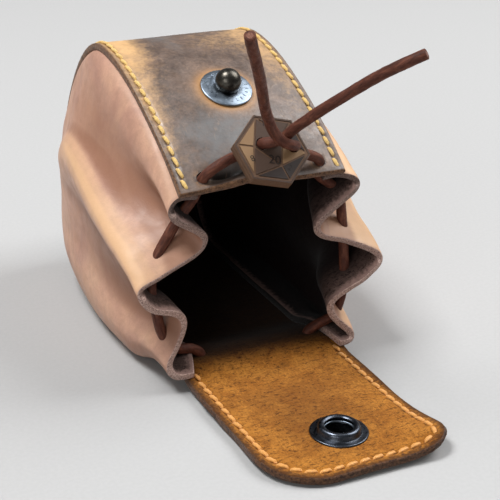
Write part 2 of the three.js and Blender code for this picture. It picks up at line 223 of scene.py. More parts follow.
def finish_piece(obj, replaced=(), body=None, bend=None):
    """Hides the CAD parts that a piece replaces, and parents it to its body's empty, or for a
    bending piece bakes its transform into its mesh.
    """
    if replaced:
        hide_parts(*replaced)
    if bend:
        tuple(bend[2][0])
        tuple(bend[2][1])
        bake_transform(obj)
    else:
        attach(obj, body)
    return obj


EDGE_STEPS = np.array([0.0, 0.012, 0.06, 0.16, 0.34, 0.62, 1.0])  # shares of the edge radius
EDGE_POWER = 3.2      # 2 would make a sheet's edge round, and more makes it squarer
EDGE_FINISH = 0.5     # how far in from a sheet's edge the edge's own material runs


def edge_profile(distance, radius):
    """Share of a sheet's half thickness at a distance from its edge: a softened square edge."""
    u = np.clip(1 - distance / radius, 0, 1)
    return (1 - u ** EDGE_POWER) ** (1 / EDGE_POWER)


def grid_normals(points):
    du = np.gradient(points, axis=0)
    dv = np.gradient(points, axis=1)
    n = np.cross(du, dv)
    return n / np.maximum(np.linalg.norm(n, axis=-1, keepdims=True), 1e-9)


def smooth_grid(values, rounds):
    for _ in range(rounds):
        inner = values.copy()
        inner[1:-1] = (values[:-2] + 2 * values[1:-1] + values[2:]) / 4
        values = inner.copy()
        values[:, 1:-1] = (inner[:, :-2] + 2 * inner[:, 1:-1] + inner[:, 2:]) / 4
    return values


def sheet_object(name, middle, normal, half, edge, flat, materials, cap, marks,
                 sink_a=0, sink_b=0):
    """A sheet of leather about a grid of middle points. Its A face is along the normal. The
    half thickness is 0 on free edges, where the two faces share their points; cap names
    the row, first or last, where the sheet is cut square instead. edge is each point's
    distance to a free edge, and flat its place on the leather. Materials: A, B, edge."""
    rows, cols = half.shape
    count = rows * cols
    face_a = np.arange(count).reshape(rows, cols)
    face_b = np.where(half < 1e-6, face_a, face_a + count)
    faces, which = [], []

    def add_face(corners, material):
        corners = tuple(dict.fromkeys(int(i) for i in corners))
        if len(corners) > 2:
            faces.append(corners)
            which.append(material)

    for r in range(rows - 1):
        for c in range(cols - 1):
            rim = edge[r:r + 2, c:c + 2].max() < EDGE_FINISH
            add_face((face_a[r, c], face_a[r + 1, c], face_a[r + 1, c + 1], face_a[r, c + 1]),
                     2 if rim else 0)
            add_face((face_b[r, c], face_b[r, c + 1], face_b[r + 1, c + 1], face_b[r + 1, c]),
                     2 if rim else 1)
    r = 0 if cap == "first" else -1
    for c in range(cols - 1):
        corners = (face_a[r, c], face_a[r, c + 1], face_b[r, c + 1], face_b[r, c])
        add_face(corners if cap == "first" else corners[::-1], 2)

    def on_both(values):
        return np.concatenate([values.reshape(count, -1)] * 2).squeeze()

    verts = np.concatenate([(middle + normal * (half - sink_a * np.sign(half))[..., None]),
                            (middle - normal * (half - sink_b * np.sign(half))[..., None])])
    attributes = {key: on_both(value) for key, value in marks.items()}
    attributes["edge"] = on_both(edge)
    attributes["flat"] = on_both(flat)
    attributes["flat"][:, 2] += np.concatenate([half.ravel(), -half.ravel()])
    used = np.zeros(2 * count, bool)
    used[[i for corners in faces for i in corners]] = True
    renumber = (np.cumsum(used) - 1).tolist()
    faces = [tuple(renumber[i] for i in corners) for corners in faces]
    attributes = {key: values[used] for key, values in attributes.items()}
    return make_object(name, verts.reshape(-1, 3)[used], faces, materials, which, attributes)


def cut_away(obj, cutter, sharp):
    """Cuts the cutter's shape out of a piece, and keeps the piece's attributes."""
    boolean = obj.modifiers.new("cut", "BOOLEAN")
    boolean.operation = "DIFFERENCE"
    boolean.solver = "EXACT"
    boolean.object = cutter
    bpy.context.view_layer.update()
    graph = bpy.context.evaluated_depsgraph_get()
    result = bpy.data.meshes.new_from_object(obj.evaluated_get(graph),
                                             preserve_all_data_layers=True, depsgraph=graph)
    obj.modifiers.clear()
    obj.data = result
    bpy.data.objects.remove(cutter)
    obj.data.set_sharp_from_angle(angle=math.radians(sharp))


def ring_faces(first, count, rings):
    """The faces between rings of count points each, from the point first."""
    faces = []
    for low in range(first, first + (rings - 1) * count, count):
        for i in range(count):
            j = (i + 1) % count
            faces.append((low + i, low + j, low + count + j, low + count + i))
    return faces


def turned(name, profile, material, segments=64, place=None, sharp=35):
    """A ring or knob turned about Z from a list of (radius, height)."""
    closed = profile[0][0] > 1e-6
    angles = np.linspace(0, 2 * math.pi, segments, endpoint=False)
    verts, rings = [], []
    for radius, height in profile:
        if radius < 1e-6:
            rings.append([len(verts)] * segments)
            verts.append((0, 0, height))
        else:
            rings.append(list(range(len(verts), len(verts) + segments)))
            verts += [(radius * math.cos(t), radius * math.sin(t), height) for t in angles]
    pairs = list(zip(rings, rings[1:]))
    if closed:
        pairs.append((rings[-1], rings[0]))
    faces = []
    for low, high in pairs:
        for i in range(segments):
            j = (i + 1) % segments
            face = tuple(dict.fromkeys((low[i], low[j], high[j], high[i])))
            if len(face) > 2:
                faces.append(face)
    flat = np.array(verts, float)
    obj = make_object(name, verts, faces, [material], attributes={"flat": flat}, sharp=sharp)
    if place is not None:
        obj.data.transform(place)
    return obj


CORD_SIDES = 18
CORD_STEP = 0.7
CORD_LUMPS = 0.05     # how uneven the cord is, as a share of its radius


def tube(name, points, seed):
    """The cord along points, with slightly uneven sides and squared, softened ends. Gives the
    object and its middle line."""
    line = evenly_stepped(points, CORD_STEP)
    s = lengths(line)
    tangent = np.gradient(line, axis=0)
    tangent /= np.linalg.norm(tangent, axis=1, keepdims=True)
    side = np.cross(tangent[0], (0.3, 0.2, 1.0))
    frames = []
    for t in tangent:
        side = side - t * side.dot(t)
        side = side / np.linalg.norm(side)
        frames.append((side, np.cross(t, side)))
    verts, flat = [], []
    angles = np.linspace(0, 2 * math.pi, CORD_SIDES, endpoint=False)
    # Each ring: its point on the line, its share of the radius and how far it moves on.
    shoulder = ((0.55, -0.02), (0.88, 0.0), (0.985, 0.12))
    rings = ([(0, share, slide) for share, slide in shoulder]
             + [(i, 1.0, 0.0) for i in range(1, len(line) - 1)]
             + [(len(line) - 1, share, -slide) for share, slide in shoulder[::-1]])
    for i, share, slide in rings:
        u, v = frames[i]
        for t in angles:
            p = line[i] + tangent[i] * slide
            spot = Vector((math.cos(t), math.sin(t), s[i] / 2.2 + seed * 31))
            lump = 1 + CORD_LUMPS * noise.noise(spot)
            out = (u * math.cos(t) + v * math.sin(t)) * CORD_RADIUS
            verts.append(p + out * share * lump)
            flat.append((math.cos(t) * CORD_RADIUS, math.sin(t) * CORD_RADIUS, s[i]))
    first, last = range(CORD_SIDES), range(len(verts) - CORD_SIDES, len(verts))
    faces = ring_faces(0, CORD_SIDES, len(rings)) + [tuple(first)[::-1], tuple(last)]
    which = [0] * (len(faces) - 2) + [1] * 2
    obj = make_object(name, verts, faces, [MATERIALS["cord"], MATERIALS["cord_end"]], which,
                      {"flat": flat}, sharp=60)
    return obj, line


# ---------------------------------------------------------------- materials

class Nodes:
    """Short words for building a material's nodes."""

    def __init__(self, name):
        self.material = bpy.data.materials.new(name)
        self.material.use_nodes = True
        self.tree = self.material.node_tree
        self.shader = self.tree.nodes["Principled BSDF"]

    def add(self, kind, **inputs):
        node = self.tree.nodes.new(kind)
        for key, value in inputs.items():
            self.put(node.inputs[key.replace("_", " ")], value)
        return node

    def put(self, socket, value):
        if isinstance(value, bpy.types.NodeSocket):
            self.tree.links.new(value, socket)
        elif isinstance(value, tuple) and socket.type == "RGBA":
            socket.default_value = (*value, 1)
        else:
            socket.default_value = value

    def attribute(self, name, output="Fac"):
        """A mark stored on the mesh, such as the distance to an edge."""
        node = self.tree.nodes.new("ShaderNodeAttribute")
        node.attribute_name = name
        return node.outputs[output]

    def place(self, stretch=(1, 1, 1)):
        """The point's place on the leather, in millimetres."""
        mapping = self.add("ShaderNodeMapping", Vector=self.attribute("flat", "Vector"))
        mapping.inputs["Scale"].default_value = stretch
        return mapping.outputs["Vector"]

    def noise(self, size, detail=4, rough=0.55, warp=0.0, stretch=(1, 1, 1)):
        """Noise whose blotches are about size millimetres across."""
        node = self.add("ShaderNodeTexNoise", Vector=self.place(stretch), Scale=1 / size,
                        Detail=detail, Roughness=rough, Distortion=warp)
        return node.outputs["Fac"]

    def pores(self, size):
        node = self.add("ShaderNodeTexVoronoi", Vector=self.place(), Scale=1 / size)
        node.feature = "SMOOTH_F1"
        return node.outputs["Distance"]

    def ramp(self, value, *stops):
        """Maps a value to colours or greys: each stop is (position, colour or grey)."""
        node = self.add("ShaderNodeValToRGB", Fac=value)
        elements = node.color_ramp.elements
        while len(elements) < len(stops):
            elements.new(0.5)
        for element, (position, colour) in zip(elements, stops):
            element.position = position
            colour = colour if isinstance(colour, tuple) else (colour,) * 3
            element.color = (*colour, 1)
        return node.outputs["Color"]

    def fit(self, value, low, high, to_low=0.0, to_high=1.0):
        node = self.add("ShaderNodeMapRange", Value=value)
        node.interpolation_type = "SMOOTHSTEP"
        for key, number in (("From Min", low), ("From Max", high),
                            ("To Min", to_low), ("To Max", to_high)):
            node.inputs[key].default_value = number
        return node.outputs["Result"]

    def mix(self, share, a, b, how="MIX"):
        node = self.tree.nodes.new("ShaderNodeMix")
        node.data_type = "RGBA"
        node.blend_type = how
        factor, first, second = (node.inputs[i] for i in (0, 6, 7))  # the colour sockets
        self.put(factor, share)
        self.put(first, a)
        self.put(second, b)
        return node.outputs[2]

    def tint(self, colour, value, strength, tone, low=0.0, high=1.0):
        """Mixes a tone in, up to strength, as a value rises from low to high."""
        return self.mix(self.fit(value, low, high, 0.0, strength), colour, tone)

    def ragged(self, name, noise, depth):
        """A mark whose border noise breaks up by depth."""
        node = self.tree.nodes.new("ShaderNodeMath")
        self.put(node.inputs[0], self.attribute(name))
        self.put(node.inputs[1], self.fit(noise, 0.3, 0.7, -depth, depth))
        return node.outputs[0]

    def bump(self, height, depth, strength=1.0, under=None):
        node = self.add("ShaderNodeBump", Height=height, Strength=strength)
        node.inputs["Distance"].default_value = depth * MM
        if under is not None:
            self.put(node.inputs["Normal"], under)
        return node.outputs["Normal"]

    def done(self, colour, roughness, normal=None, **uniform):
        """Links the looks, and sets what is the same all over on the shader's own sockets."""
        sockets = self.shader.inputs
        self.put(sockets["Base Color"], colour)
        self.put(sockets["Roughness"], roughness)
        if normal is not None:
            self.put(sockets["Normal"], normal)
        for key, value in uniform.items():
            sockets[UNIFORM_SOCKETS[key]].default_value = value
        return self.material


UNIFORM_SOCKETS = {"metallic": "Metallic", "specular": "Specular IOR Level", "sheen": "Sheen Weight"}


def strap_outer(name):
    """Waxed pull-up leather: dark brown, paler where it is stretched and there partly a painted
    highlight, with scuffs, a painted grey sheen and a painted shadow in the hollow behind the lip.
    """
    n = Nodes(name)
    mottled = n.ramp(n.noise(7, 9, 0.70, 0.25), (0.30, (0.058, 0.038, 0.030)),
                     (0.50, (0.115, 0.077, 0.059)), (0.72, (0.180, 0.118, 0.087)))
    fine = n.ramp(n.noise(1.0, 5, 0.75), (0.35, 0.66), (0.65, 1.24))
    colour = n.mix(1.0, mottled, fine, "MULTIPLY")
    # Painted grey sheen: grey patches that stand in for a reflection on the waxed top.
    painted_sheen_mask = n.ragged("painted_sheen", n.noise(6, 9, 0.7, 0.2), 0.25)
    colour = n.tint(colour, painted_sheen_mask, 0.9, (0.118, 0.118, 0.120), 0.2)
    # Paler where stretched: partly real pull-up paling, partly a painted highlight on the lit top
    # and right edge.
    stretched = n.ragged("stretch_and_highlight", n.noise(2.6, 9, 0.75, 0.1), 0.17)
    colour = n.tint(colour, stretched, 0.92, (0.68, 0.41, 0.185), 0.1, 1.05)
    colour = n.tint(colour, n.attribute("glow"), 0.75, (0.50, 0.25, 0.085), 0.1)
    worn = n.fit(n.attribute("edge"), 0.2, 1.1, 0.5, 0.0)
    colour = n.mix(worn, colour, (0.060, 0.033, 0.022))
    # Painted shadow under the left strand, in the hollow behind the lip.
    colour = n.tint(colour, n.attribute("shade"), 0.93, (0.006, 0.004, 0.003))
    scratches = n.ramp(n.noise(1.6, 3, 0.5, 2.5, (1, 0.22, 1)), (0.62, 0.0), (0.74, 1.0))
    colour = n.tint(colour, scratches, 0.22, (0.42, 0.26, 0.15))
    grain = n.bump(n.pores(0.75), 0.05, 0.55)
    grain = n.bump(n.noise(2.6, 6, 0.6, 0.4), 0.22, 0.55, grain)
    rough = n.fit(n.noise(4.5, 5, 0.6, 0.5), 0.3, 0.7, 0.36, 0.56)
    return n.done(colour, rough, grain, specular=0.62)


def suede(name, dark, mid, light, inside, rim):
    """The flesh side: short fibres with dark specks and a brushed look, with painted shade deep
    inside the bag and on the flap's middle.
    """
    n = Nodes(name)
    broad = n.ramp(n.noise(7, 4, 0.6, 0.8), (0.32, mid), (0.68, light))
    fibre = n.noise(0.55, 5, 0.7, 0.7, (1, 0.45, 1))
    specks = n.ramp(n.noise(1.0, 4, 0.75, 1.2, (0.5, 1.5, 1)), (0.39, 1.0), (0.48, 0.0))
    colour = n.tint(broad, specks, 0.8, dark)
    colour = n.mix(1.0, colour, n.ramp(fibre, (0.3, 0.60), (0.7, 1.30)), "MULTIPLY")
    # Painted shade, darkest deep inside the bag.
    colour = n.tint(colour, n.attribute("inside"), 0.93, inside)
    worn = n.fit(n.ragged("edge", n.noise(1.2, 4), 0.6), 0.5, 3.0, 0.85, 0.0)
    colour = n.mix(worn, colour, rim)
    # Painted shade over the flap's middle.
    colour = n.tint(colour, n.attribute("painted_flap_shade"), 0.5, dark)
    nap = n.bump(fibre, 0.20, 0.9)
    nap = n.bump(n.noise(2.2, 4, 0.6), 0.30, 0.5, nap)
    return n.done(colour, 0.95, nap, specular=0.1, sheen=0.05)


def cut_edge(name, dark, light, size, inside=None):
    """A rough cut, with painted shade inside the bag where a tone for that is given."""
    n = Nodes(name)
    colour = n.ramp(n.noise(size, 5, 0.7, 0.5), (0.36, dark), (0.62, light))
    if inside:
        colour = n.tint(colour, n.attribute("inside"), 1.0, inside, 0.0, 0.6)
    height = n.bump(n.noise(size * 0.6, 5, 0.75), 0.22, 0.8)
    return n.done(colour, 0.85, height, specular=0.2, sheen=0.12)


def gusset_outer(name):
    """Smooth undyed leather, pinkish tan, with pores and soft creases, a painted highlight on its
    ridges and up-facing leather, and painted shade in its hollows, on down-facing leather and below
    its ridges.
    """
    n = Nodes(name)
    broad = n.ramp(n.noise(16, 4, 0.55, 0.7), (0.30, (0.44, 0.240, 0.175)),
                   (0.52, (0.53, 0.305, 0.210)), (0.74, (0.59, 0.355, 0.235)))
    blotch = n.ramp(n.noise(3.2, 5, 0.65, 0.5), (0.3, 0.86), (0.7, 1.08))
    colour = n.mix(1.0, broad, blotch, "MULTIPLY")
    fine = n.ramp(n.noise(0.5, 3, 0.7), (0.3, 0.93), (0.7, 1.05))
    colour = n.mix(1.0, colour, fine, "MULTIPLY")
    # Painted highlight on the ridges and up-facing leather.
    colour = n.tint(colour, n.attribute("ridge_highlight"), 0.7, (0.76, 0.48, 0.26))
    # Painted shade in the hollows.
    colour = n.tint(colour, n.attribute("crease_shade"), 0.85, (0.27, 0.125, 0.075))
    # Painted shade on down-facing leather, and a painted shadow below the ridges.
    colour = n.tint(colour, n.attribute("under"), 0.8, (0.25, 0.120, 0.074))
    rim = n.fit(n.attribute("edge"), 0.4, 1.8, 0.4, 0.0)
    colour = n.mix(rim, colour, (0.36, 0.20, 0.15))
    pores = n.bump(n.pores(0.55), 0.035, 0.5)
    folds = n.bump(n.noise(2.4, 5, 0.6, 0.8, (1, 0.6, 1)), 0.22, 0.45, pores)
    return n.done(colour, n.fit(n.noise(5, 4), 0.3, 0.7, 0.44, 0.58), folds, specular=0.42)


def waxed_thread(name, dark, light):
    """Plied thread: slanting bands, dark between the plies."""
    n = Nodes(name)
    wave = n.add("ShaderNodeTexWave", Vector=n.attribute("flat", "Vector"), Scale=0.9,
                 Distortion=0.6)
    wave.bands_direction = "DIAGONAL"
    colour = n.mix(n.noise(1.3, 3), dark, light)
    colour = n.mix(n.fit(wave.outputs["Fac"], 0.1, 0.6, 0.45, 0.0), colour, dark)
    return n.done(colour, 0.42, n.bump(wave.outputs["Fac"], 0.12, 0.9), specular=0.55,
                  sheen=0.1)


def cord_leather(name):
    """Dark red-brown leather with fine cracks along it."""
    n = Nodes(name)
    colour = n.ramp(n.noise(1.6, 5, 0.7, 0.6, (1, 1, 0.35)), (0.28, (0.030, 0.009, 0.005)),
                    (0.5, (0.088, 0.027, 0.016)), (0.75, (0.19, 0.070, 0.040)))
    cracks = n.ramp(n.noise(0.45, 4, 0.75, 1.0, (1, 1, 0.5)), (0.33, 1.0), (0.42, 0.0))
    colour = n.tint(colour, cracks, 0.6, (0.045, 0.017, 0.012))
    surface = n.bump(n.noise(0.55, 5, 0.75, 0.6, (1, 1, 0.4)), 0.13, 0.75)
    return n.done(colour, n.fit(n.noise(1.2, 3), 0.3, 0.7, 0.5, 0.75), surface, specular=0.22)


def toggle_leather(name, dark, light):
    """Smooth firm leather, mottled."""
    n = Nodes(name)
    colour = n.ramp(n.noise(2.2, 5, 0.65, 0.6), (0.3, dark), (0.72, light))
    colour = n.mix(1.0, colour, n.ramp(n.noise(0.5, 4, 0.7), (0.3, 0.75), (0.7, 1.2)), "MULTIPLY")
    surface = n.bump(n.noise(0.8, 5, 0.7), 0.08, 0.7)
    return n.done(colour, n.fit(n.noise(1.6, 3), 0.3, 0.7, 0.45, 0.65), surface, specular=0.28)


def plated_metal(name, colour, tarnish, rough_low, rough_high):
    """Plating with tarnished patches and fine scratches."""
    n = Nodes(name)
    base = n.ramp(n.noise(1.8, 4, 0.65, 0.4), (0.3, tarnish), (0.6, colour))
    scratches = n.bump(n.noise(0.5, 3, 0.6, 0.2, (1, 1, 4)), 0.012, 0.5)
    rough = n.fit(n.noise(1.1, 4), 0.3, 0.7, rough_low, rough_high)
    return n.done(base, rough, scratches, metallic=1.0)


def paper_floor(name):
    n = Nodes(name)
    place = n.tree.nodes.new("ShaderNodeTexCoord").outputs["Object"]
    grain = n.add("ShaderNodeTexNoise", Vector=place, Scale=900.0, Detail=3.0)
    colour = n.tint((0.415,) * 3, grain.outputs["Fac"], 1.0, (0.430,) * 3, 0.3, 0.7)
    return n.done(colour, 0.9, specular=0.1)


LOOKS = {  # a finish's maker, and the values that it takes
    "strap_outer": (strap_outer,),
    # The near-black tone that strap_inner, gusset_inner and gusset_edge are given for inside the bag
    # is painted shade.
    "strap_inner": (suede, (0.055, 0.015, 0.003), (0.27, 0.097, 0.013), (0.43, 0.175, 0.028),
                    (0.007, 0.002, 0.001), (0.045, 0.018, 0.008)),
    "strap_edge": (cut_edge, (0.018, 0.008, 0.005), (0.125, 0.058, 0.028), 0.8),
    "strap_side": (cut_edge, (0.040, 0.019, 0.011), (0.22, 0.115, 0.060), 0.9),
    "gusset_outer": (gusset_outer,),
    "gusset_inner": (suede, (0.016, 0.009, 0.008), (0.060, 0.036, 0.030), (0.115, 0.072, 0.060),
                     (0.004, 0.001, 0.001), (0.27, 0.170, 0.145)),
    "gusset_edge": (cut_edge, (0.160, 0.092, 0.075), (0.58, 0.41, 0.35), 0.45,
                    (0.006, 0.003, 0.002)),
    "thread_gold": (waxed_thread, (0.66, 0.36, 0.07), (1.0, 0.78, 0.33)),
    "thread_orange": (waxed_thread, (0.58, 0.22, 0.035), (1.0, 0.52, 0.14)),
    "cord": (cord_leather,),
    "cord_end": (cut_edge, (0.10, 0.035, 0.025), (0.34, 0.16, 0.11), 0.4),
    "toggle_dark": (toggle_leather, (0.015, 0.010, 0.009), (0.046, 0.033, 0.028)),
    "toggle_mid": (toggle_leather, (0.040, 0.023, 0.016), (0.105, 0.062, 0.042)),
    "toggle_tan": (toggle_leather, (0.16, 0.090, 0.044), (0.38, 0.235, 0.12)),
    "toggle_rim": (toggle_leather, (0.080, 0.042, 0.025), (0.20, 0.115, 0.068)),
    "toggle_line": (toggle_leather, (0.008, 0.005, 0.004), (0.022, 0.015, 0.012)),
    "nickel": (plated_metal, (0.25, 0.30, 0.36), (0.10, 0.125, 0.16), 0.32, 0.44),
    "gunmetal": (plated_metal, (0.085, 0.078, 0.066), (0.04, 0.037, 0.034), 0.26, 0.36),
    "blued_steel": (plated_metal, (0.085, 0.095, 0.115), (0.035, 0.042, 0.055), 0.24, 0.36),
    "floor_paper": (paper_floor,),
}
MATERIALS = {name: make(name, *values) for name, (make, *values) in LOOKS.items()}


# ---------------------------------------------------------------- camera

def add_camera():
    """At the photograph's place: about 39 cm off, in front, to the left and above."""
    right = Vector((0.8967, -0.4419, 0.0263))
    up = Vector((0.1570, 0.3731, 0.9144))
    back = Vector((-0.4139, -0.8158, 0.4039))
    place = Vector((-0.15823, -0.34266, 0.18769))
    data = bpy.data.cameras.new("camera")
    data.sensor_width = 36
    data.lens = 95.9
    data.clip_start = 0.01
    camera = bpy.data.objects.new("camera", data)
    bpy.context.scene.collection.objects.link(camera)
    turn = Matrix((right, up, back)).transposed()
    camera.matrix_world = Matrix.Translation(place) @ turn.to_4x4()
    bpy.context.scene.camera = camera


add_camera()


# ---------------------------------------------------------------- drawcord

LOOP_ROUTE = [
    (-17.9, -33.8, 56.3), (-19.2, -33.7, 53.6), (-21.9, -33.8, 50.3), (-25.3, -34.2, 46.0),
    (-28.6, -34.5, 41.2), (-31.2, -35.0, 36.8), (-32.8, -35.9, 28.7), (-31.6, -36.5, 22.7),
    (-29.8, -37.2, 15.2), (-25.8, -37.5, 10.3), (-20.5, -36.5, 8.4), (-17.6, -35.7, 5.9),
    (-16.6, -35.5, 2.9), (-13.5, -35.5, 1.75), (-5.0, -35.5, 1.7),
    (5.0, -35.5, 1.7), (13.5, -35.5, 1.75), (16.6, -35.5, 2.9),
    (17.6, -35.7, 5.9), (20.5, -37.0, 8.5), (24.5, -38.0, 10.9), (27.2, -37.3, 15.7),
    (28.3, -36.5, 22.7), (28.4, -36.0, 27.7), (28.0, -35.2, 35.6), (27.6, -34.6, 41.2),
    (27.0, -34.2, 45.5), (24.4, -33.8, 50.5), (20.3, -33.7, 53.9), (18.1, -33.6, 56.1),
]
STRAND_ROUTES = {
    "left": [
        (-17.8, -34.3, 57.4), (-17.6, -36.0, 59.4), (-16.4, -36.9, 61.3), (-13.8, -37.2, 63.0),
        (-10.0, -36.8, 64.4), (-6.5, -36.1, 65.1), (-5.0, -36.0, 65.3),
    ],
    "right": [
        (18.3, -34.3, 57.4), (18.3, -36.1, 59.4), (17.2, -37.1, 61.0), (14.9, -37.6, 62.2),
        (12.3, -37.7, 63.2), (10.4, -37.6, 63.8), (9.3, -37.5, 64.0),
    ],
}
TAIL_ROUTES = {
    "left": [
        (-4.6, -36.0, 65.3), (-3.2, -36.1, 65.5), (-2.2, -36.9, 66.2), (-2.1, -38.3, 67.1),
        (-2.1, -39.6, 68.1), (-2.3, -41.0, 69.2), (-1.5, -42.7, 69.8), (0.7, -43.0, 70.1),
        (2.8, -43.5, 71.0), (4.1, -45.0, 73.1), (5.5, -47.4, 75.6), (8.4, -52.5, 80.5),
        (12.7, -58.9, 86.5), (17.0, -65.0, 92.1), (20.8, -70.7, 96.6), (25.3, -74.7, 100.0),
    ],
    "right": [
        (8.9, -37.5, 64.0), (7.5, -37.8, 64.2), (6.6, -38.7, 64.8), (6.5, -40.0, 65.7),
        (6.4, -41.4, 66.8), (6.2, -42.8, 68.0), (5.8, -44.6, 68.7), (4.0, -46.0, 69.5),
        (1.1, -46.8, 71.0), (-0.9, -46.9, 72.7), (-2.8, -47.3, 75.2), (-4.7, -48.6, 78.5),
        (-7.3, -51.6, 82.4), (-13.0, -59.6, 92.5), (-18.1, -66.5, 100.8), (-21.5, -70.7, 106.3),
        (-22.9, -72.7, 108.6),
    ],
}
STRAP_HOLES = ((-17.8, -34.0, 57.0), (18.2, -34.0, 57.0))


def along_bend(points):
    """A blend's two ends in metres."""
    return tuple(tuple(c * MM for c in p) for p in points)


def add_drawcord():
    loop, _ = tube("drawcord_loop_leather", spline(LOOP_ROUTE, np.linspace(0, 1, 600)), 1)
    finish_piece(loop, ["drawcord_loop"], bend=("bag", "top", TOP_BEND))
    for seed, side in enumerate(("left", "right"), 2):
        route = spline(STRAND_ROUTES[side], np.linspace(0, 1, 200))
        strand, _ = tube(f"drawcord_strand_{side}_leather", route, seed)
        finish_piece(strand, [f"drawcord_strand_{side}"],
                     bend=("top", "toggle", along_bend((route[0], route[-1]))))
        route = spline(TAIL_ROUTES[side], np.linspace(0, 1, 500))
        tail, line = tube(f"drawcord_tail_{side}_leather", route, seed + 2)
        finish_piece(tail, [f"drawcord_tail_{side}"],
                     bend=("toggle", "top", along_bend((TAIL_ROUTES[side][5], route[-1]))))
        lengths(line)[-1] * MM
        [tuple(p * MM) for p in line]


add_drawcord()


# ---------------------------------------------------------------- strap

STRAP_EDGE = 0.75     # radius of the strap's burnished edges
STRAP_ROW = 0.75      # between the rows of points along the strap
SEAM_DEPTH = 0.28     # how far the leather sinks along a seam
HOLE_DEPTH = 0.30     # and how much further at the thread's holes


def seam_columns():
    """Places across the strap: close together at its edges and over its seams."""
    right = np.concatenate([HALF_WIDTH - STRAP_EDGE * EDGE_STEPS,
                            np.arange(HALF_WIDTH - 1.3, HALF_WIDTH - 5.2, -0.33),
                            np.linspace(HALF_WIDTH - 6.2, 0, 18)])
    return np.concatenate([-right[:-1], right[::-1]])


def seam_sink(distance, along, inset):
    """How far the leather sinks at a distance from its edge, with a seam at the inset."""
    from_hole = np.abs((along / STITCH_PITCH + 0.5) % 1 - 0.5) * STITCH_PITCH
    return bump_at(distance, inset, 0.75) * (SEAM_DEPTH + HOLE_DEPTH * bump_at(from_hole, 0, 0.6))


def lip_lift(x):
    """How far the front edge of the top stands above its corners."""
    at = [-25.6, -19, -13, -7, -2, 4, 9, 14, 20, 25.6]
    lift = [0, 0.5, 2.0, 3.3, 3.4, 1.9, 0.5, 0.2, 0.2, 0]
    return np.interp(x, at, lift)


# The hollow behind the lip: its share of the top's length, its place across, and its width.
TROUGH_ALONG = 0.970
TROUGH_ACROSS = (-10.5, 6)


def top_lift(x, along):
    """The crown of the top, the trough behind its lip, and the lip itself."""
    share = smoothstep(along, 0.45, 0.75) * (1 - 0.2 * smoothstep(along, 0.85, 1))
    crown = CROWN * share * (1 - (x / HALF_WIDTH) ** 2)
    front = smoothstep(along, 0.86, 0.99)
    trough = -4.0 * bump_at(along, TROUGH_ALONG, 0.018) * bump_at(x, *TROUGH_ACROSS)
    return crown * (1 - front) + lip_lift(x) * front + trough


def glow_at(points, spots):
    """1 at each spot's rim, fading over a few millimetres: leather stretched round a hole."""
    total = np.zeros(points.shape[:-1])
    for place, radius, fade in spots:
        d = np.linalg.norm(points - np.array(place), axis=-1)
        total = np.maximum(total, np.exp(-np.maximum(d - radius, 0) / fade))
    return total


def stud_place():
    y, z = TOP.at(STUD_ALONG)
    return (0.0, float(y), float(z))


# Patches on the top: strength, then middle and size across, then middle and size along. The first
# are paler, stretched leather and partly a painted highlight; the second a painted grey sheen.
STRETCH_AND_HIGHLIGHT_PATCHES = ((0.95, (-19.5, 6), (58, 22)), (0.50, (-23.0, 4.5), (95, 26)),
          (0.62, (20.5, 6), (66, 36)), (0.35, (8, 10), (68, 10)), (0.28, (-3, 10), (98, 8)))
SHEEN_PATCHES = ((0.85, (-8, 14), (112, 11)), (0.85, (0, 19), (34, 13)), (0.55, (-7, 6), (62, 20)))


def patches(x, a, spots):
    return sum(strength * bump_at(x, *across) * bump_at(a, *along)
               for strength, across, along in spots)


def strap_marks(grid, x, s, along):
    """Where the strap is stretched (partly a painted highlight), has a painted grey sheen or a
    painted shadow behind the lip, is paler round a hole, or has painted shade inside the bag.
    """
    a = along * TOP.length
    spots = [(stud_place(), 7.4, 2.6)] + [(hole, 1.7, 1.6) for hole in STRAP_HOLES]
    return {
        "stretch_and_highlight": patches(x, a, STRETCH_AND_HIGHLIGHT_PATCHES) + 0.25 * bump_at(s, 100, 12),
        "painted_sheen": patches(x, a, SHEEN_PATCHES),
        "shade": 1.6 * bump_at(a, TROUGH_ALONG * TOP.length, 1.9) * bump_at(x, *TROUGH_ACROSS),
        "glow": glow_at(grid, spots) * (grid[..., 1] < 20),
        "inside": np.clip(smoothstep(grid[..., 1], -36, -28) + (along > 0), 0, 1),
    }


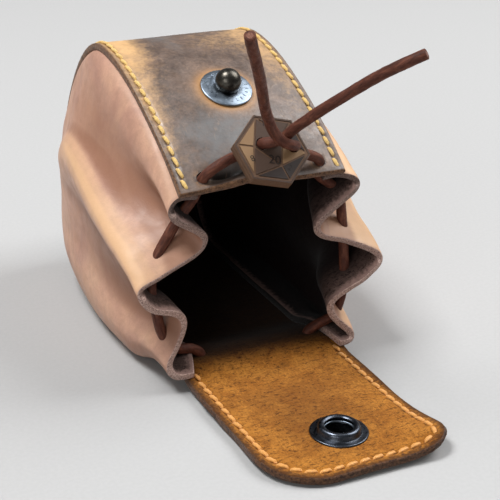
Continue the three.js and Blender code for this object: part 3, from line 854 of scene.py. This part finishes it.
def strap_body():
    """From the flat base, up the back and over the top to the lip."""
    base_rows = np.arange(base_share(SPLIT_Y), 1, STRAP_ROW / BASE.length)
    lip_rows = 1 - STRAP_EDGE * EDGE_STEPS[::-1] / TOP.length
    top_rows = np.arange(0.0, lip_rows[0] - 0.3 / TOP.length, STRAP_ROW / TOP.length)
    top_rows = np.concatenate([top_rows, lip_rows])
    place = np.concatenate([BASE.at(base_rows), TOP.at(top_rows)])
    out = np.concatenate([BASE.outward(base_rows), TOP.outward(top_rows)])
    # x is one row, and the others are columns: together they cover the sheet.
    x = seam_columns()[None]
    s = np.concatenate([base_rows * BASE.length, BASE.length + top_rows * TOP.length])[:, None]
    along = np.concatenate([np.zeros(len(base_rows)), top_rows])[:, None]
    flat = np.stack(np.broadcast_arrays(x, s, 0.0), -1)

    wave = 0.25 * ripple(flat, 24, 3) * (place[:, 1:] > 3)
    reach = -THICK / 2 + np.where(along > 0, top_lift(x, along), 0) + wave
    grid = np.stack(np.broadcast_arrays(x, place[:, :1] + out[:, :1] * reach,
                                        place[:, 1:] + out[:, 1:] * reach), -1)
    total = BASE.length + TOP.length
    side = HALF_WIDTH - np.abs(x)
    edge = np.maximum(np.minimum(side, total - s), 0)
    half = THICK / 2 * edge_profile(edge, STRAP_EDGE)
    seam = seam_sink(side, s, SEAM_INSET) * (s < total - SEAM_INSET)
    obj = sheet_object(
        "strap_body", grid, grid_normals(grid), half, edge, flat,
        [MATERIALS["strap_outer"], MATERIALS["strap_inner"], MATERIALS["strap_side"]],
        "first", strap_marks(grid, x, s, along), sink_a=seam)
    cut_holes(obj)
    return finish_piece(obj, ["strap_top"], bend=("bag", "top", TOP_BEND))


def cut_holes(obj):
    """The two round holes that the drawcord comes out of."""
    for hole, side, end in zip(STRAP_HOLES, ("left", "right"), (0, -1)):
        ahead = Vector(STRAND_ROUTES[side][1]) - Vector(LOOP_ROUTE[end])
        turn = ahead.to_track_quat("Z", "Y").to_matrix().to_4x4()
        place = Matrix.Translation(Vector(hole) * MM) @ turn
        cutter = turned(f"hole_cutter_{side}", [(0, -4), (1.75, -4), (1.75, 4), (0, 4)],
                        MATERIALS["strap_edge"], 32, place)
        cut_away(obj, cutter, 48)


def flap_sides(y):
    """The flap's left and right edge at y."""
    def side(corner):
        reach = np.clip((FLAP_TIP_Y + corner - y) / corner, 0, 1)
        return HALF_WIDTH - corner * (1 - np.sqrt(1 - reach ** 2))
    return -side(CORNER_LEFT), side(CORNER_RIGHT)


def flap_edge_distance(x, y):
    """Distance to the flap's outline, inside it."""
    corner = np.where(x < 0, CORNER_LEFT, CORNER_RIGHT)
    dx = np.abs(x) - (HALF_WIDTH - corner)
    dy = (FLAP_TIP_Y + corner) - y
    outside = np.hypot(np.maximum(dx, 0), np.maximum(dy, 0))
    return np.maximum(corner - outside - np.minimum(np.maximum(dx, dy), 0), 0)


def flap_floor(x, y):
    """Height of the flap's underside: it lies on the socket's cap, and its edges droop."""
    out = smoothstep(-y, 48.0, 62.0)
    near = np.exp(-((x / 15) ** 2 + ((y - SOCKET_Y) / 14) ** 2))
    droop = FLAP_LIFT * near + 0.12 * (1 - near)
    curl = 3.6 * bump_at(x, 27, 11) * bump_at(y, -101, 12)
    side_wave = np.sin(y / 5.2) * bump_at(np.abs(x), 26, 4)
    front_wave = np.sin(x / 4.6 + 1) * bump_at(y, -103, 4)
    waves = 0.45 * (1 + side_wave) / 2 + 0.45 * (1 + front_wave) / 2
    return FLAP_LIFT * (1 - out) + (droop + curl + waves) * out


def flap_row(y, across):
    """The flap's points across at y, between its wavy sides."""
    left, right = flap_sides(y)
    free = smoothstep(-y, 50, 58)
    left = left + 0.45 * math.sin(y / 6.5 + 0.6) * free + HALF_WIDTH
    right = right + 0.40 * math.sin(y / 7.5 + 2.0) * free - HALF_WIDTH
    # The columns near an edge keep their distance to it, and the others share what is left.
    near = 17
    between = np.interp(across, (-near, near), (left - near, right + near))
    return np.where(across < -near, across + left,
                    np.where(across > near, across + right, between))


def strap_front():
    """The flap, and the base up to where it lies flat."""
    tip_rows = FLAP_TIP_Y + STRAP_EDGE * EDGE_STEPS
    flap_rows = np.concatenate([tip_rows, np.arange(tip_rows[-1] + 0.3, FOLD_Y + 0.3, 0.6)])
    base_to = base_share(SPLIT_Y)
    base_rows = np.append(np.arange(0.0, base_to - 0.3 / BASE.length, 0.7 / BASE.length), base_to)
    across = seam_columns()
    rows = []
    for y in flap_rows:
        x = flap_row(y, across)
        rows.append((x, np.full_like(x, y), flap_floor(x, y), np.full_like(x, y - FOLD_Y)))
    for a in base_rows:
        y, z = BASE.at(a)
        rows.append((across, *(np.full_like(across, v) for v in (y, z, a * BASE.length))))
    x, y, z, s = np.array(rows).transpose(1, 0, 2)
    grid = np.stack([x, y, z], -1)
    # The grid runs along +y and then +x, so its normal points down, out of the strap.
    normal = grid_normals(grid)
    grid = grid + np.array([0, 0, THICK / 2])
    edge = np.where(s < 0, flap_edge_distance(x, y), HALF_WIDTH - np.abs(x))
    edge[:, 0] = 0
    edge[:, -1] = 0
    edge[0] = 0
    half = THICK / 2 * edge_profile(edge, STRAP_EDGE)
    # The seam runs on round the flap's corners, which is about as far as x + y changes.
    run = np.where(y < FLAP_TIP_Y + 14, (x + y) * 0.72 - 3.0, s)
    seam = seam_sink(edge, run, FLAP_SEAM_INSET)
    # Paler where stretched at the fold, painted shade on the flap's middle, and painted shade deeper
    # inside the bag.
    marks = {
        "stretch_and_highlight": 0.3 * bump_at(y, FOLD_Y, 5),
        "painted_flap_shade": 0.9 * bump_at(x, -2, 16) * bump_at(y, -77, 17) + 0.35 * bump_at(y, -60, 8),
        "inside": smoothstep(y, -47, -34),
    }
    obj = sheet_object(
        "strap_front", grid, normal, half, edge, np.stack([x, s, np.zeros_like(x)], -1),
        [MATERIALS["strap_outer"], MATERIALS["strap_inner"], MATERIALS["strap_edge"]],
        "last", marks, sink_a=seam, sink_b=seam)
    through = Matrix.Translation(Vector((0, SOCKET_Y, FLAP_LIFT + 0.3)) * MM)
    hole = [(0, 0), (SOCKET_HOLE, 0), (SOCKET_HOLE, 6), (0, 6)]
    cut_away(obj, turned("socket_cutter", hole, MATERIALS["strap_edge"], 48, through), 48)
    return finish_piece(obj, ["strap_flap", "strap_base"],
                        bend=("bag", "flap", FLAP_BEND))


strap_body()
strap_front()


# ---------------------------------------------------------------- gussets

# Slices of each gusset from the mouth to the back, as in the CAD: points of (reach from the
# middle, share of the height), from the base to the top.
MOUTHS = {
    "left": [(29.0, 0.01), (31.6, 0.07), (26.2, 0.325), (35.6, 0.418), (38.9, 0.525),
             (30.5, 0.607), (18.3, 0.738), (29.2, 0.916)],
    "right": [(27.5, 0.01), (29.0, 0.04), (21.6, 0.245), (33.6, 0.37), (38.9, 0.475),
              (30.5, 0.595), (17.6, 0.705), (31.6, 0.93)],
}
THROATS = {
    "left": [(30.5, -0.01), (33.4, 0.08), (29.8, 0.31), (36.2, 0.435), (39.8, 0.565),
             (32.5, 0.655), (23.4, 0.735), (28.6, 0.90)],
    "right": [(29.0, -0.01), (31.0, 0.07), (25.4, 0.26), (34.6, 0.395), (38.9, 0.515),
              (30.0, 0.63), (21.5, 0.73), (30.4, 0.92)],
}
BACK_SLICES = [
    (0.22, [(31.5, -0.02), (35.2, 0.09), (33.2, 0.29), (36.6, 0.44), (40.0, 0.585),
            (32.8, 0.685), (29.0, 0.77), (29.2, 0.91)]),
    (0.37, [(32.5, -0.01), (36.2, 0.10), (35.2, 0.28), (35.6, 0.43), (39.6, 0.60),
            (33.0, 0.705), (30.6, 0.80), (29.0, 0.92)]),
    (0.56, [(30.5, 0.01), (34.4, 0.13), (34.6, 0.28), (34.8, 0.43), (37.0, 0.61),
            (33.2, 0.71), (30.6, 0.80), (28.2, 0.91)]),
    (0.76, [(28.0, 0.06), (29.6, 0.17), (30.2, 0.30), (30.6, 0.42), (30.8, 0.54),
            (30.0, 0.66), (28.9, 0.79), (27.2, 0.91)]),
    (0.96, [(25.4, share) for share in (0.06, 0.17, 0.30, 0.42, 0.54, 0.66, 0.79, 0.91)]),
]
FLANGE_REACH = 19.5
EDGE_REACH = 25.7
MOUTH_ALONG = 0.035
GUSSET_EDGE = 0.6
FOLD_ROUNDING = 2.0   # over this many millimetres the folds are rounded


def gusset_grid(name, side, u, v):
    """The gusset's outer face: u runs from the mouth to the back, v from base to top."""
    rings = []
    for back, points in [(0.0, MOUTHS[name]), (0.1, THROATS[name])] + BACK_SLICES:
        low_reach = FLANGE_REACH + 4.0 * max(0, 1 - back / 0.1)
        ring = [(low_reach, 0), (EDGE_REACH, 0), *points, (EDGE_REACH, 1), (FLANGE_REACH, 1)]
        rings.append([(back, *mark) for mark in ring])
    # Each mark's smooth run from slice to slice: mark, u, (back, reach, share of height).
    tracks = np.array([spline(marks, u, power=0.0) for marks in zip(*rings)])
    depth = -(THICK + 0.05)
    fine = np.linspace(0, 1, 400)
    grid = np.zeros((len(u), len(v), 3))
    for k in range(len(u)):
        back, reach, share = tracks[:, k].T
        low_at = MOUTH_ALONG + (1 - MOUTH_ALONG) * back
        low = BASE.at(low_at) + BASE.outward(low_at) * depth
        high = TOP.at(1 - back) + TOP.outward(1 - back) * depth
        yz = low + (high - low) * share[:, None]
        line = evenly(spline(np.column_stack([side * reach, yz]), fine), len(fine))
        line = rounded(line, FOLD_ROUNDING * len(fine) / lengths(line)[-1])
        grid[k] = read_line(line, v * lengths(line)[-1])
    return grid


def along_grid(grid, axis):
    """Each point's distance along its column (axis 0) or its row (axis 1)."""
    steps = np.linalg.norm(np.diff(grid, axis=axis), axis=-1)
    return np.pad(np.cumsum(steps, axis=axis), ((1, 0), (0, 0)) if axis == 0 else ((0, 0), (1, 0)))


def gusset_marks(side, grid, normal, u, across):
    """Painted light on the gusset: painted shade in its hollows, a painted highlight along its
    ridges and up-facing leather, painted shade on down-facing leather with a painted shadow below
    its ridges, and painted shade deeper inside the bag.
    """
    second = np.zeros_like(grid)
    second[:, 2:-2] = grid[:, 4:] - 2 * grid[:, 2:-2] + grid[:, :-4]
    step = np.gradient(across, axis=1) ** 2 * 4
    hollow = smooth_grid((second * normal).sum(-1) / np.maximum(step, 1e-3), 24)
    facing_up = smooth_grid(normal, 12)[..., 2]
    reach = np.abs(grid[..., 0])
    widest = np.take_along_axis(across, reach.argmax(axis=1)[:, None], axis=1)
    below = widest - across  # how far below the ridge a point is

    def towards_mouth(start, end):
        return 1 - smoothstep(u, start, end)[:, None]

    near_mouth = towards_mouth(0.05, 0.45)
    # Painted shade in the hollows.
    crease_shade = np.clip(hollow * 13.0, 0, 1)
    ridge_from = 30 if side < 0 else 27
    # Painted highlight on convex, up-facing leather out past the strap.
    ridge_highlight = smoothstep(facing_up, 0.05, 0.45) * np.clip(-hollow * 8.0, 0, 1)
    ridge_highlight = ridge_highlight * smoothstep(reach, ridge_from, ridge_from + 5)
    # Painted highlight on up-facing leather near the mouth.
    upper = smoothstep(facing_up, 0.2, 0.7) * near_mouth
    ridge_highlight = np.maximum(ridge_highlight, (0.25 if side < 0 else 0.95) * upper)
    # Painted shade on down-facing leather, strongest near the mouth.
    under = smoothstep(-facing_up, -0.12, 0.25) * (0.08 + 0.92 * near_mouth)
    # The ridge hangs over a band of the leather below it, which gets a painted shadow.
    overhung = smoothstep(below, 3, 7) * (1 - smoothstep(below, 17, 32))
    under = np.maximum(under, overhung * towards_mouth(0.35, 0.75))
    # The roll along the ridge gets a painted highlight, and a long shallow hollow above it gets
    # painted shade.
    roll = smoothstep(-below, -3, 1) * (1 - smoothstep(-below, 6, 10))
    ridge_highlight = np.maximum(ridge_highlight, 0.55 * roll * towards_mouth(0.55, 0.9))
    slack = smoothstep(-below, 9, 13) * (1 - smoothstep(-below, 18, 36))
    crease_shade = np.maximum(crease_shade, 0.75 * slack * towards_mouth(0.5, 0.85))
    # inside: painted shade, deeper inside the bag.
    return {"crease_shade": crease_shade, "ridge_highlight": ridge_highlight * (1 - overhung), "under": under,
            "inside": smoothstep(grid[..., 1], -44, -28)}


def add_gusset(name, side):
    edge_u, edge_v = EDGE_STEPS * GUSSET_EDGE / 110, EDGE_STEPS * GUSSET_EDGE / 120
    u = np.concatenate([edge_u, np.linspace(edge_u[-1] + 0.006, 1, 130)])
    v = np.concatenate([edge_v, np.linspace(0.008, 0.992, 210), 1 - edge_v[::-1]])
    grid = gusset_grid(name, side, u, v)
    normal = smooth_grid(side * grid_normals(grid), 3)
    normal /= np.linalg.norm(normal, axis=-1, keepdims=True)
    # Soft wrinkles, stronger towards the gathered mouth, and none under the strap.
    free = smoothstep(np.abs(grid[..., 0]), 25.5, 29)
    near_mouth = 1 - smoothstep(u, 0.05, 0.45)[:, None]
    wrinkle = (0.35 * ripple(grid * (1, 0.35, 1), 9, 11 + side)
               + 0.5 * ripple(grid * (1, 0.5, 1), 24, 13 + side)) * free
    fine = 0.16 * ripple(grid * (1, 0.3, 1), 3.2, 17 + side) * free * near_mouth
    grid = grid + normal * (wrinkle + fine)[..., None]

    from_mouth, across = along_grid(grid, 0), along_grid(grid, 1)
    edge = np.minimum(np.minimum(from_mouth, across), across[:, -1:] - across)
    sheet = [grid - normal * GUSSET_THICK / 2, normal,
             GUSSET_THICK / 2 * edge_profile(edge, GUSSET_EDGE), edge,
             np.stack([across, from_mouth, np.zeros_like(across)], -1)]
    marks = gusset_marks(side, grid, normal, u, across)
    if side < 0:  # the left side's rows are turned round, so that its faces point outwards
        sheet = [values[::-1] for values in sheet]
        marks = {key: values[::-1] for key, values in marks.items()}
    obj = sheet_object(
        f"gusset_{name}_leather", *sheet,
        [MATERIALS["gusset_outer"], MATERIALS["gusset_inner"], MATERIALS["gusset_edge"]],
        "first" if side < 0 else "last", marks)
    return finish_piece(obj, [f"gusset_{name}"], bend=("bag", "top", TOP_BEND))


add_gusset("left", -1)
add_gusset("right", 1)


# ---------------------------------------------------------------- stitches

def stitch_mesh(name, frames, material, width, seed):
    """One small plied stitch at each frame (point, tangent, outward direction), a little
    slanted, its ends sinking in."""
    rng = np.random.default_rng(seed)
    verts, faces, flat = [], [], []
    along, around = 9, 8
    for p, t, n in frames:
        t = t / np.linalg.norm(t)
        n = n / np.linalg.norm(n)
        side = np.cross(n, t)
        slant = math.radians(11 + rng.uniform(-4, 4))
        t = t * math.cos(slant) + side * math.sin(slant)
        side = np.cross(n, t)
        length = STITCH_LENGTH * (1 + rng.uniform(-0.06, 0.06))
        first = len(verts)
        for i in range(along):
            f = i / (along - 1) * 2 - 1
            swell = math.sqrt(max(1 - abs(f) ** 3.2, 0.02))
            sink = -0.5 * abs(f) ** 5
            for j in range(around):
                angle = 2 * math.pi * j / around
                twist = 1 + 0.10 * math.cos(2 * angle + f * 7)
                offset = (side * math.cos(angle) * width / 2
                          + n * math.sin(angle) * STITCH_HEIGHT / 2) * swell * twist
                verts.append(p + t * f * length / 2 + n * sink + offset)
                flat.append((j * 0.3, f * length, 0.0))
        for i in range(along - 1):
            for j in range(around):
                k = (j + 1) % around
                a, b = first + i * around, first + (i + 1) * around
                faces.append((a + j, b + j, b + k, a + k))
        faces.append(tuple(first + j for j in range(around)))
        faces.append(tuple(first + (along - 1) * around + j for j in range(around))[::-1])
    return make_object(name, verts, faces, [material], attributes={"flat": flat}, sharp=80)


def strap_frame(profile, along, x, height):
    """Point, tangent and outward direction on the strap's outer face."""
    def point(a):
        lift = top_lift(x, a) if profile is TOP else 0.0
        yz = profile.at(a) + profile.outward(a) * (height + lift)
        return np.array([x, yz[0], yz[1]])
    step = 0.004
    t = point(min(along + step, 1)) - point(max(along - step, 0))
    out = profile.outward(along)
    return point(along), t, np.array([0, out[0], out[1]])


def add_strap_stitches():
    total = BASE.length + TOP.length
    for name, side in (("left", -1), ("right", 1)):
        x = side * (HALF_WIDTH - SEAM_INSET)
        runs = {"base": [], "top": []}
        for s in np.arange(STITCH_PITCH * 1.5, total - 2.8, STITCH_PITCH):
            if s < BASE.length:
                runs["base"].append(strap_frame(BASE, s / BASE.length, x, 0.02))
            else:
                runs["top"].append(strap_frame(TOP, (s - BASE.length) / TOP.length, x, 0.02))
        for part, frames in runs.items():
            # None lie on the base's flat underside, where they would be below the floor.
            frames = [f for f in frames if f[0][2] > 0.5 or part == "top"]
            obj = stitch_mesh(f"stitches_{part}_{name}", frames, MATERIALS["thread_gold"],
                              STITCH_WIDTH, 7 + side)
            finish_piece(obj, [f"seam_thread_{part}_{name}"],
                         bend=("bag", "top", TOP_BEND))


def flap_seam():
    """The seam's line round the flap, from the left of the fold to the right."""
    half = HALF_WIDTH - FLAP_SEAM_INSET
    points = [(-half, FOLD_Y + 6)]
    for corner, side, turn in ((CORNER_LEFT, -1, (math.pi, 1.5 * math.pi)),
                               (CORNER_RIGHT, 1, (1.5 * math.pi, 2 * math.pi))):
        middle = (side * (HALF_WIDTH - corner), FLAP_TIP_Y + corner)
        radius = corner - FLAP_SEAM_INSET
        for t in np.linspace(*turn, 24):
            points.append((middle[0] + radius * math.cos(t), middle[1] + radius * math.sin(t)))
    points.append((half, FOLD_Y + 6))
    return evenly_stepped(np.array(points), 0.25)


def add_flap_stitches():
    """On both faces of the flap, and on the base's upper face as far as the mouth."""
    line = flap_seam()
    at = np.arange(1.0, lengths(line)[-1] - 1.0, STITCH_PITCH)
    for face, name in ((1, "stitches_flap_inner"), (-1, "stitches_flap_outer")):
        frames = []
        for (x, y), (next_x, next_y) in zip(read_line(line, at), read_line(line, at + 0.3)):
            low = BASE.at(base_share(y))[1] if y > FOLD_Y else flap_floor(x, y)
            z = low + THICK - 0.02 if face > 0 else low + 0.3
            frames.append((np.array([x, y, z]), np.array([next_x - x, next_y - y, 0]),
                           np.array([0, 0, float(face)])))
        obj = stitch_mesh(name, frames, MATERIALS["thread_orange"], 1.3, 9)
        finish_piece(obj, ["seam_thread_flap"] if face > 0 else [],
                     bend=("bag", "flap", FLAP_BEND))


add_strap_stitches()
add_flap_stitches()


# ---------------------------------------------------------------- snap

def stud_frame():
    """The stud's place: origin on the strap's outer face, +Z out of the leather."""
    out = TOP.outward(STUD_ALONG)
    point = np.array(stud_place()) + np.array([0, *(out * top_lift(0.0, STUD_ALONG))])
    lean = math.atan2(-out[0], out[1])
    return Matrix.Translation(Vector(point) * MM) @ Matrix.Rotation(lean, 4, "X")


def arc(middle, radius, start, end, count):
    """Points of (radius, height) round a circle, angles in degrees from level."""
    angles = np.radians(np.linspace(start, end, count))
    return [(middle[0] + radius * math.cos(a), middle[1] + radius * math.sin(a)) for a in angles]


def ring_of_dashes(name, radius, height, count, size, material, place):
    """A generic ring of small raised marks, each an oval mound."""
    verts, faces = [], []
    sides = 10
    for k in range(count):
        turn = Matrix.Rotation(2 * math.pi * k / count, 3, "Z")
        first = len(verts)
        for level, share in ((0, 1.0), (0.7, 0.85), (1, 0.5)):
            for j in range(sides):
                a = 2 * math.pi * j / sides
                verts.append(tuple(turn @ Vector((radius + size[0] / 2 * math.cos(a) * share,
                                                  size[1] / 2 * math.sin(a) * share,
                                                  height + size[2] * level))))
        faces += ring_faces(first, sides, 3)
        faces.append(tuple(range(first + 2 * sides, first + 3 * sides)))
        faces.append(tuple(range(first, first + sides))[::-1])
    obj = make_object(name, verts, faces, [material], attributes={"flat": verts}, sharp=50)
    obj.data.transform(place)
    return obj


def add_turned(name, profile, look, node, body, place, segments, sharp=35):
    obj = turned(name, profile, MATERIALS[look], segments, place, sharp)
    finish_piece(obj, [node], body=body)


BALL_MIDDLE = 2.9
BALL_RADIUS = 3.75


def add_stud():
    place = stud_frame()
    add_turned("stud_flange_plate", [
        (2.0, 0.05), (6.9, 0.05), *arc((7.25, 0.37), 0.32, -90, 90, 7), (6.9, 0.80), (6.2, 0.92),
        (4.9, 1.02), (4.3, 1.10), (3.7, 1.02), (2.0, 1.0),
    ], "nickel", "stud_flange", "top", place, 72)
    marks = ring_of_dashes("stud_flange_marks", 5.75, 0.86, 22, (1.25, 0.42, 0.2),
                           MATERIALS["nickel"], place)
    finish_piece(marks, body="top")
    add_turned("ball_stud_turned", [
        (0, -3.95), (1.4, -3.95), (1.7, -3.6), (1.7, 0.9), (3.1, 0.93),
        *arc((0, BALL_MIDDLE), BALL_RADIUS, -31, 88, 30), (0, BALL_MIDDLE + BALL_RADIUS),
    ], "gunmetal", "ball_stud", "top", place, 64, sharp=50)
    add_turned("stud_washer_ring", [
        (2.0, -3.35), (4.5, -3.35), (5.0, -3.2), (5.2, -2.9), (5.2, -2.3), (2.0, -2.3),
    ], "nickel", "stud_washer", "top", place, 48)


def add_socket():
    place = Matrix.Translation(Vector((0, SOCKET_Y, FLAP_LIFT + THICK)) * MM)
    add_turned("socket_flange_ring", [
        (4.6, 0.05), (7.2, 0.05), *arc((7.55, 0.42), 0.38, -90, 100, 8), (7.3, 0.80),
        (6.5, 0.72), (6.1, 0.85), (5.85, 1.25), (5.75, 1.9), (5.55, 2.35), (5.15, 2.65),
        (4.7, 2.72), (4.25, 2.62), (3.95, 2.35), (3.9, 1.95), (4.1, 1.75), (4.6, 1.65),
        (4.7, 1.4), (4.7, 0.7), (4.5, 0.4), (4.0, 0.3), (4.0, -1.95), (4.6, -1.95),
    ], "blued_steel", "socket_flange", "flap", place, 72)
    wire = arc((4.13, 1.1), 0.32, 0, 330, 12)
    add_turned("socket_spring_wire", wire, "nickel", "socket_spring_ring", "flap",
               place, 48, sharp=80)
    bottom = -(FLAP_LIFT + THICK)
    add_turned("socket_cap_dome", [
        (0, bottom), (6.6, bottom), (7.2, bottom + 0.08), (7.4, bottom + 0.28),
        (7.2, bottom + 0.5), (0, bottom + 0.5),
    ], "gunmetal", "socket_cap", "flap", place, 64)


add_stud()
add_socket()


# ---------------------------------------------------------------- toggle

TOGGLE_RADIUS = 10.9
TOGGLE_LAYER = 1.7
TOGGLE_GAP = 0.1
TOGGLE_FACE = (0.1, -42.4, 67.8)
TOGGLE_LEAN = math.radians(48.2)
TOGGLE_YAW = math.radians(-4.5)
TOGGLE_TURN = math.radians(-14)
TOGGLE_HOLES = ((-2.86, 1.15), (5.82, 1.61))


def toggle_frame():
    turn = Matrix.Rotation(TOGGLE_YAW, 4, "Z") @ Matrix.Rotation(TOGGLE_LEAN, 4, "X")
    turn = turn @ Matrix.Rotation(TOGGLE_TURN, 4, "Z")
    return Matrix.Translation(Vector(TOGGLE_FACE) * MM) @ turn


def prism(name, outline, low, high, bevel, material):
    """A flat plate with softened edges from an outline of (x, y), counter-clockwise."""
    outline = np.array(outline, float)
    middle = outline.mean(0)
    reach = np.linalg.norm(outline - middle, axis=1, keepdims=True)
    inner = outline - (outline - middle) / reach * bevel
    levels = [(inner, low), (outline, low + bevel), (outline, high - bevel), (inner, high)]
    count = len(outline)
    verts = [(x, y, z) for line, z in levels for x, y in line]
    faces = [tuple(range(count))[::-1], tuple(range(3 * count, 4 * count))]
    faces += ring_faces(0, count, len(levels))
    return make_object(name, verts, faces, [material], attributes={"flat": verts}, sharp=25)


def corner(k, share=1.0):
    angle = math.radians(60 * k)
    return np.array([math.cos(angle), math.sin(angle)]) * TOGGLE_RADIUS * share


def facets():
    """The faces of a generic twenty-sided die seen face on, as triangles and their finish."""
    inner = {k: corner(k, 0.48) for k in (1, 3, 5)}
    rim = 0.90  # how far out the facets reach, as a share of the toggle's radius
    tones = {1: ("toggle_mid", "toggle_mid", "toggle_tan"),
             3: ("toggle_mid", "toggle_tan", "toggle_dark"),
             5: ("toggle_tan", "toggle_dark", "toggle_dark")}
    pieces = [((inner[1], inner[3], inner[5]), "toggle_mid")]
    for k in (1, 3, 5):
        n = k + 2 if k < 5 else 1
        middle = corner(k + 1, rim)
        pieces.append(((inner[k], middle, inner[n]), tones[k][0]))
        pieces.append(((inner[k], corner(k, rim), middle), tones[k][1]))
        pieces.append(((inner[n], middle, corner(n, rim)), tones[k][2]))
    return pieces


def shrink(triangle, margin):
    """A triangle moved in by margin on every side."""
    p = np.array(triangle, float)
    a = np.linalg.norm(p[1] - p[2])
    b = np.linalg.norm(p[2] - p[0])
    c = np.linalg.norm(p[0] - p[1])
    centre = (a * p[0] + b * p[1] + c * p[2]) / (a + b + c)
    area = abs(np.cross(p[1] - p[0], p[2] - p[0])) / 2
    radius = 2 * area / (a + b + c)
    q = centre + (p - centre) * (1 - margin / radius)
    if np.cross(q[1] - q[0], q[2] - q[0]) < 0:
        q = q[::-1]
    return q


def number_mesh(text, size, place, turn):
    """A number's mesh, in the toggle's own frame."""
    curve = bpy.data.curves.new(f"number_{text}", "FONT")
    curve.body = text
    curve.size = size
    curve.extrude = 0.02
    curve.align_x = "CENTER"
    curve.align_y = "CENTER"
    holder = bpy.data.objects.new(f"number_{text}", curve)
    bpy.context.scene.collection.objects.link(holder)
    bpy.context.view_layer.update()
    mesh = bpy.data.meshes.new_from_object(
        holder.evaluated_get(bpy.context.evaluated_depsgraph_get()))
    bpy.data.objects.remove(holder)
    mesh.transform(Matrix.Translation((*place, 0)) @ Matrix.Rotation(turn, 4, "Z"))
    return mesh


def join(name, objects):
    """One object of several meshes, keeping their materials."""
    with bpy.context.temp_override(active_object=objects[0], selected_editable_objects=objects,
                                   selected_objects=objects):
        bpy.ops.object.join()
    objects[0].name = name
    objects[0].data.name = name
    return objects[0]


def punch(obj, radius):
    """The toggle's two cord holes."""
    hole = [(0, -9), (radius, -9), (radius, 3), (0, 3)]
    for x, y in TOGGLE_HOLES:
        place = Matrix.Translation(Vector((x, y, 0)) * MM)
        cut_away(obj, turned("punch", hole, MATERIALS["toggle_line"], 40, place), 25)


PLATE_TOP = -0.22     # the front plate's top, under its facets
RIM = (0.935, 0.985)  # the raised rim, as shares of the toggle's radius


def front_details():
    """The raised rim and the facets on the front plate."""
    for k in range(6):
        strip = [corner(k, RIM[0]), corner(k, RIM[1]), corner(k + 1, RIM[1]),
                 corner(k + 1, RIM[0])]
        yield prism(f"rim_{k}", strip, PLATE_TOP - 0.1, -0.04, 0.06, MATERIALS["toggle_mid"])
    for k, (triangle, tone) in enumerate(facets()):
        yield prism(f"facet_{k}", shrink(triangle, 0.24), PLATE_TOP - 0.1, -0.02, 0.07,
                    MATERIALS[tone])


def add_toggle():
    hexagon = [corner(k) for k in range(6)]
    back_low, back_high = -2 * TOGGLE_LAYER - 0.3, -TOGGLE_LAYER - TOGGLE_GAP
    for node, low, high, details in (
            ("toggle_front", -TOGGLE_LAYER, PLATE_TOP, front_details),
            ("toggle_back", back_low, back_high, tuple)):
        plate = prism(f"{node}_plate", hexagon, low, high, 0.18, MATERIALS["toggle_rim"])
        parts = [plate, *details()]
        for part in parts:
            punch(part, 1.85)
        obj = join(f"{node}_leather", parts)
        obj.data.transform(toggle_frame())
        finish_piece(obj, [node], body="toggle")


NUMBERS = (  # text, size, place and turn of each
    ("20", 3.6, (0.6, -3.2), 0.0), ("8", 2.5, (-5.6, -3.6), 0.5),
    ("2", 2.3, (4.9, -4.9), -0.5), ("14", 2.0, (-2.2, 7.1), 0.1),
)


def add_numbers():
    """Generic die numbers burnt into the facets."""
    verts, faces = [], []
    for number in NUMBERS:
        mesh = number_mesh(*number)
        faces += [tuple(len(verts) + i for i in p.vertices) for p in mesh.polygons]
        verts += [tuple(v.co) for v in mesh.vertices]
        bpy.data.meshes.remove(mesh)
    obj = make_object("toggle_numbers", verts, faces, [MATERIALS["toggle_line"]],
                      attributes={"flat": verts}, sharp=30)
    obj.data.transform(toggle_frame())
    finish_piece(obj, body="toggle")


add_toggle()
add_numbers()


# ---------------------------------------------------------------- stage and light

def add_floor():
    size = 3.0
    mesh = bpy.data.meshes.new("floor")
    mesh.from_pydata([(-size, -size, 0), (size, -size, 0), (size, size, 0), (-size, size, 0)],
                     [], [(0, 1, 2, 3)])
    mesh.materials.append(MATERIALS["floor_paper"])
    floor = bpy.data.objects.new("floor", mesh)
    bpy.context.scene.collection.objects.link(floor)


def add_light(name, place, target, size, power):
    data = bpy.data.lights.new(name, "AREA")
    data.shape = "RECTANGLE"
    data.size, data.size_y = size
    data.energy = power
    light = bpy.data.objects.new(name, data)
    light.location = place
    light.rotation_euler = (Vector(target) - Vector(place)).to_track_quat("-Z", "Y").to_euler()
    bpy.context.scene.collection.objects.link(light)


def add_world(grey, strength):
    world = bpy.data.worlds.new("studio")
    world.use_nodes = True
    background = world.node_tree.nodes["Background"]
    background.inputs["Color"].default_value = (grey, grey, grey, 1)
    background.inputs["Strength"].default_value = strength
    bpy.context.scene.world = world


add_floor()
middle = (0, -0.01, 0.04)
add_light("key", (-0.55, 0.20, 1.45), middle, (0.55, 0.55), 25.0)
add_light("top", (0.95, 0.00, 1.05), middle, (0.9, 0.9), 18.0)
add_light("front", (-1.2, -1.0, 0.60), (0, -0.04, 0.03), (0.9, 0.7), 6.0)
add_world(1.0, 0.20)
bpy.context.scene.view_settings.view_transform = "Standard"
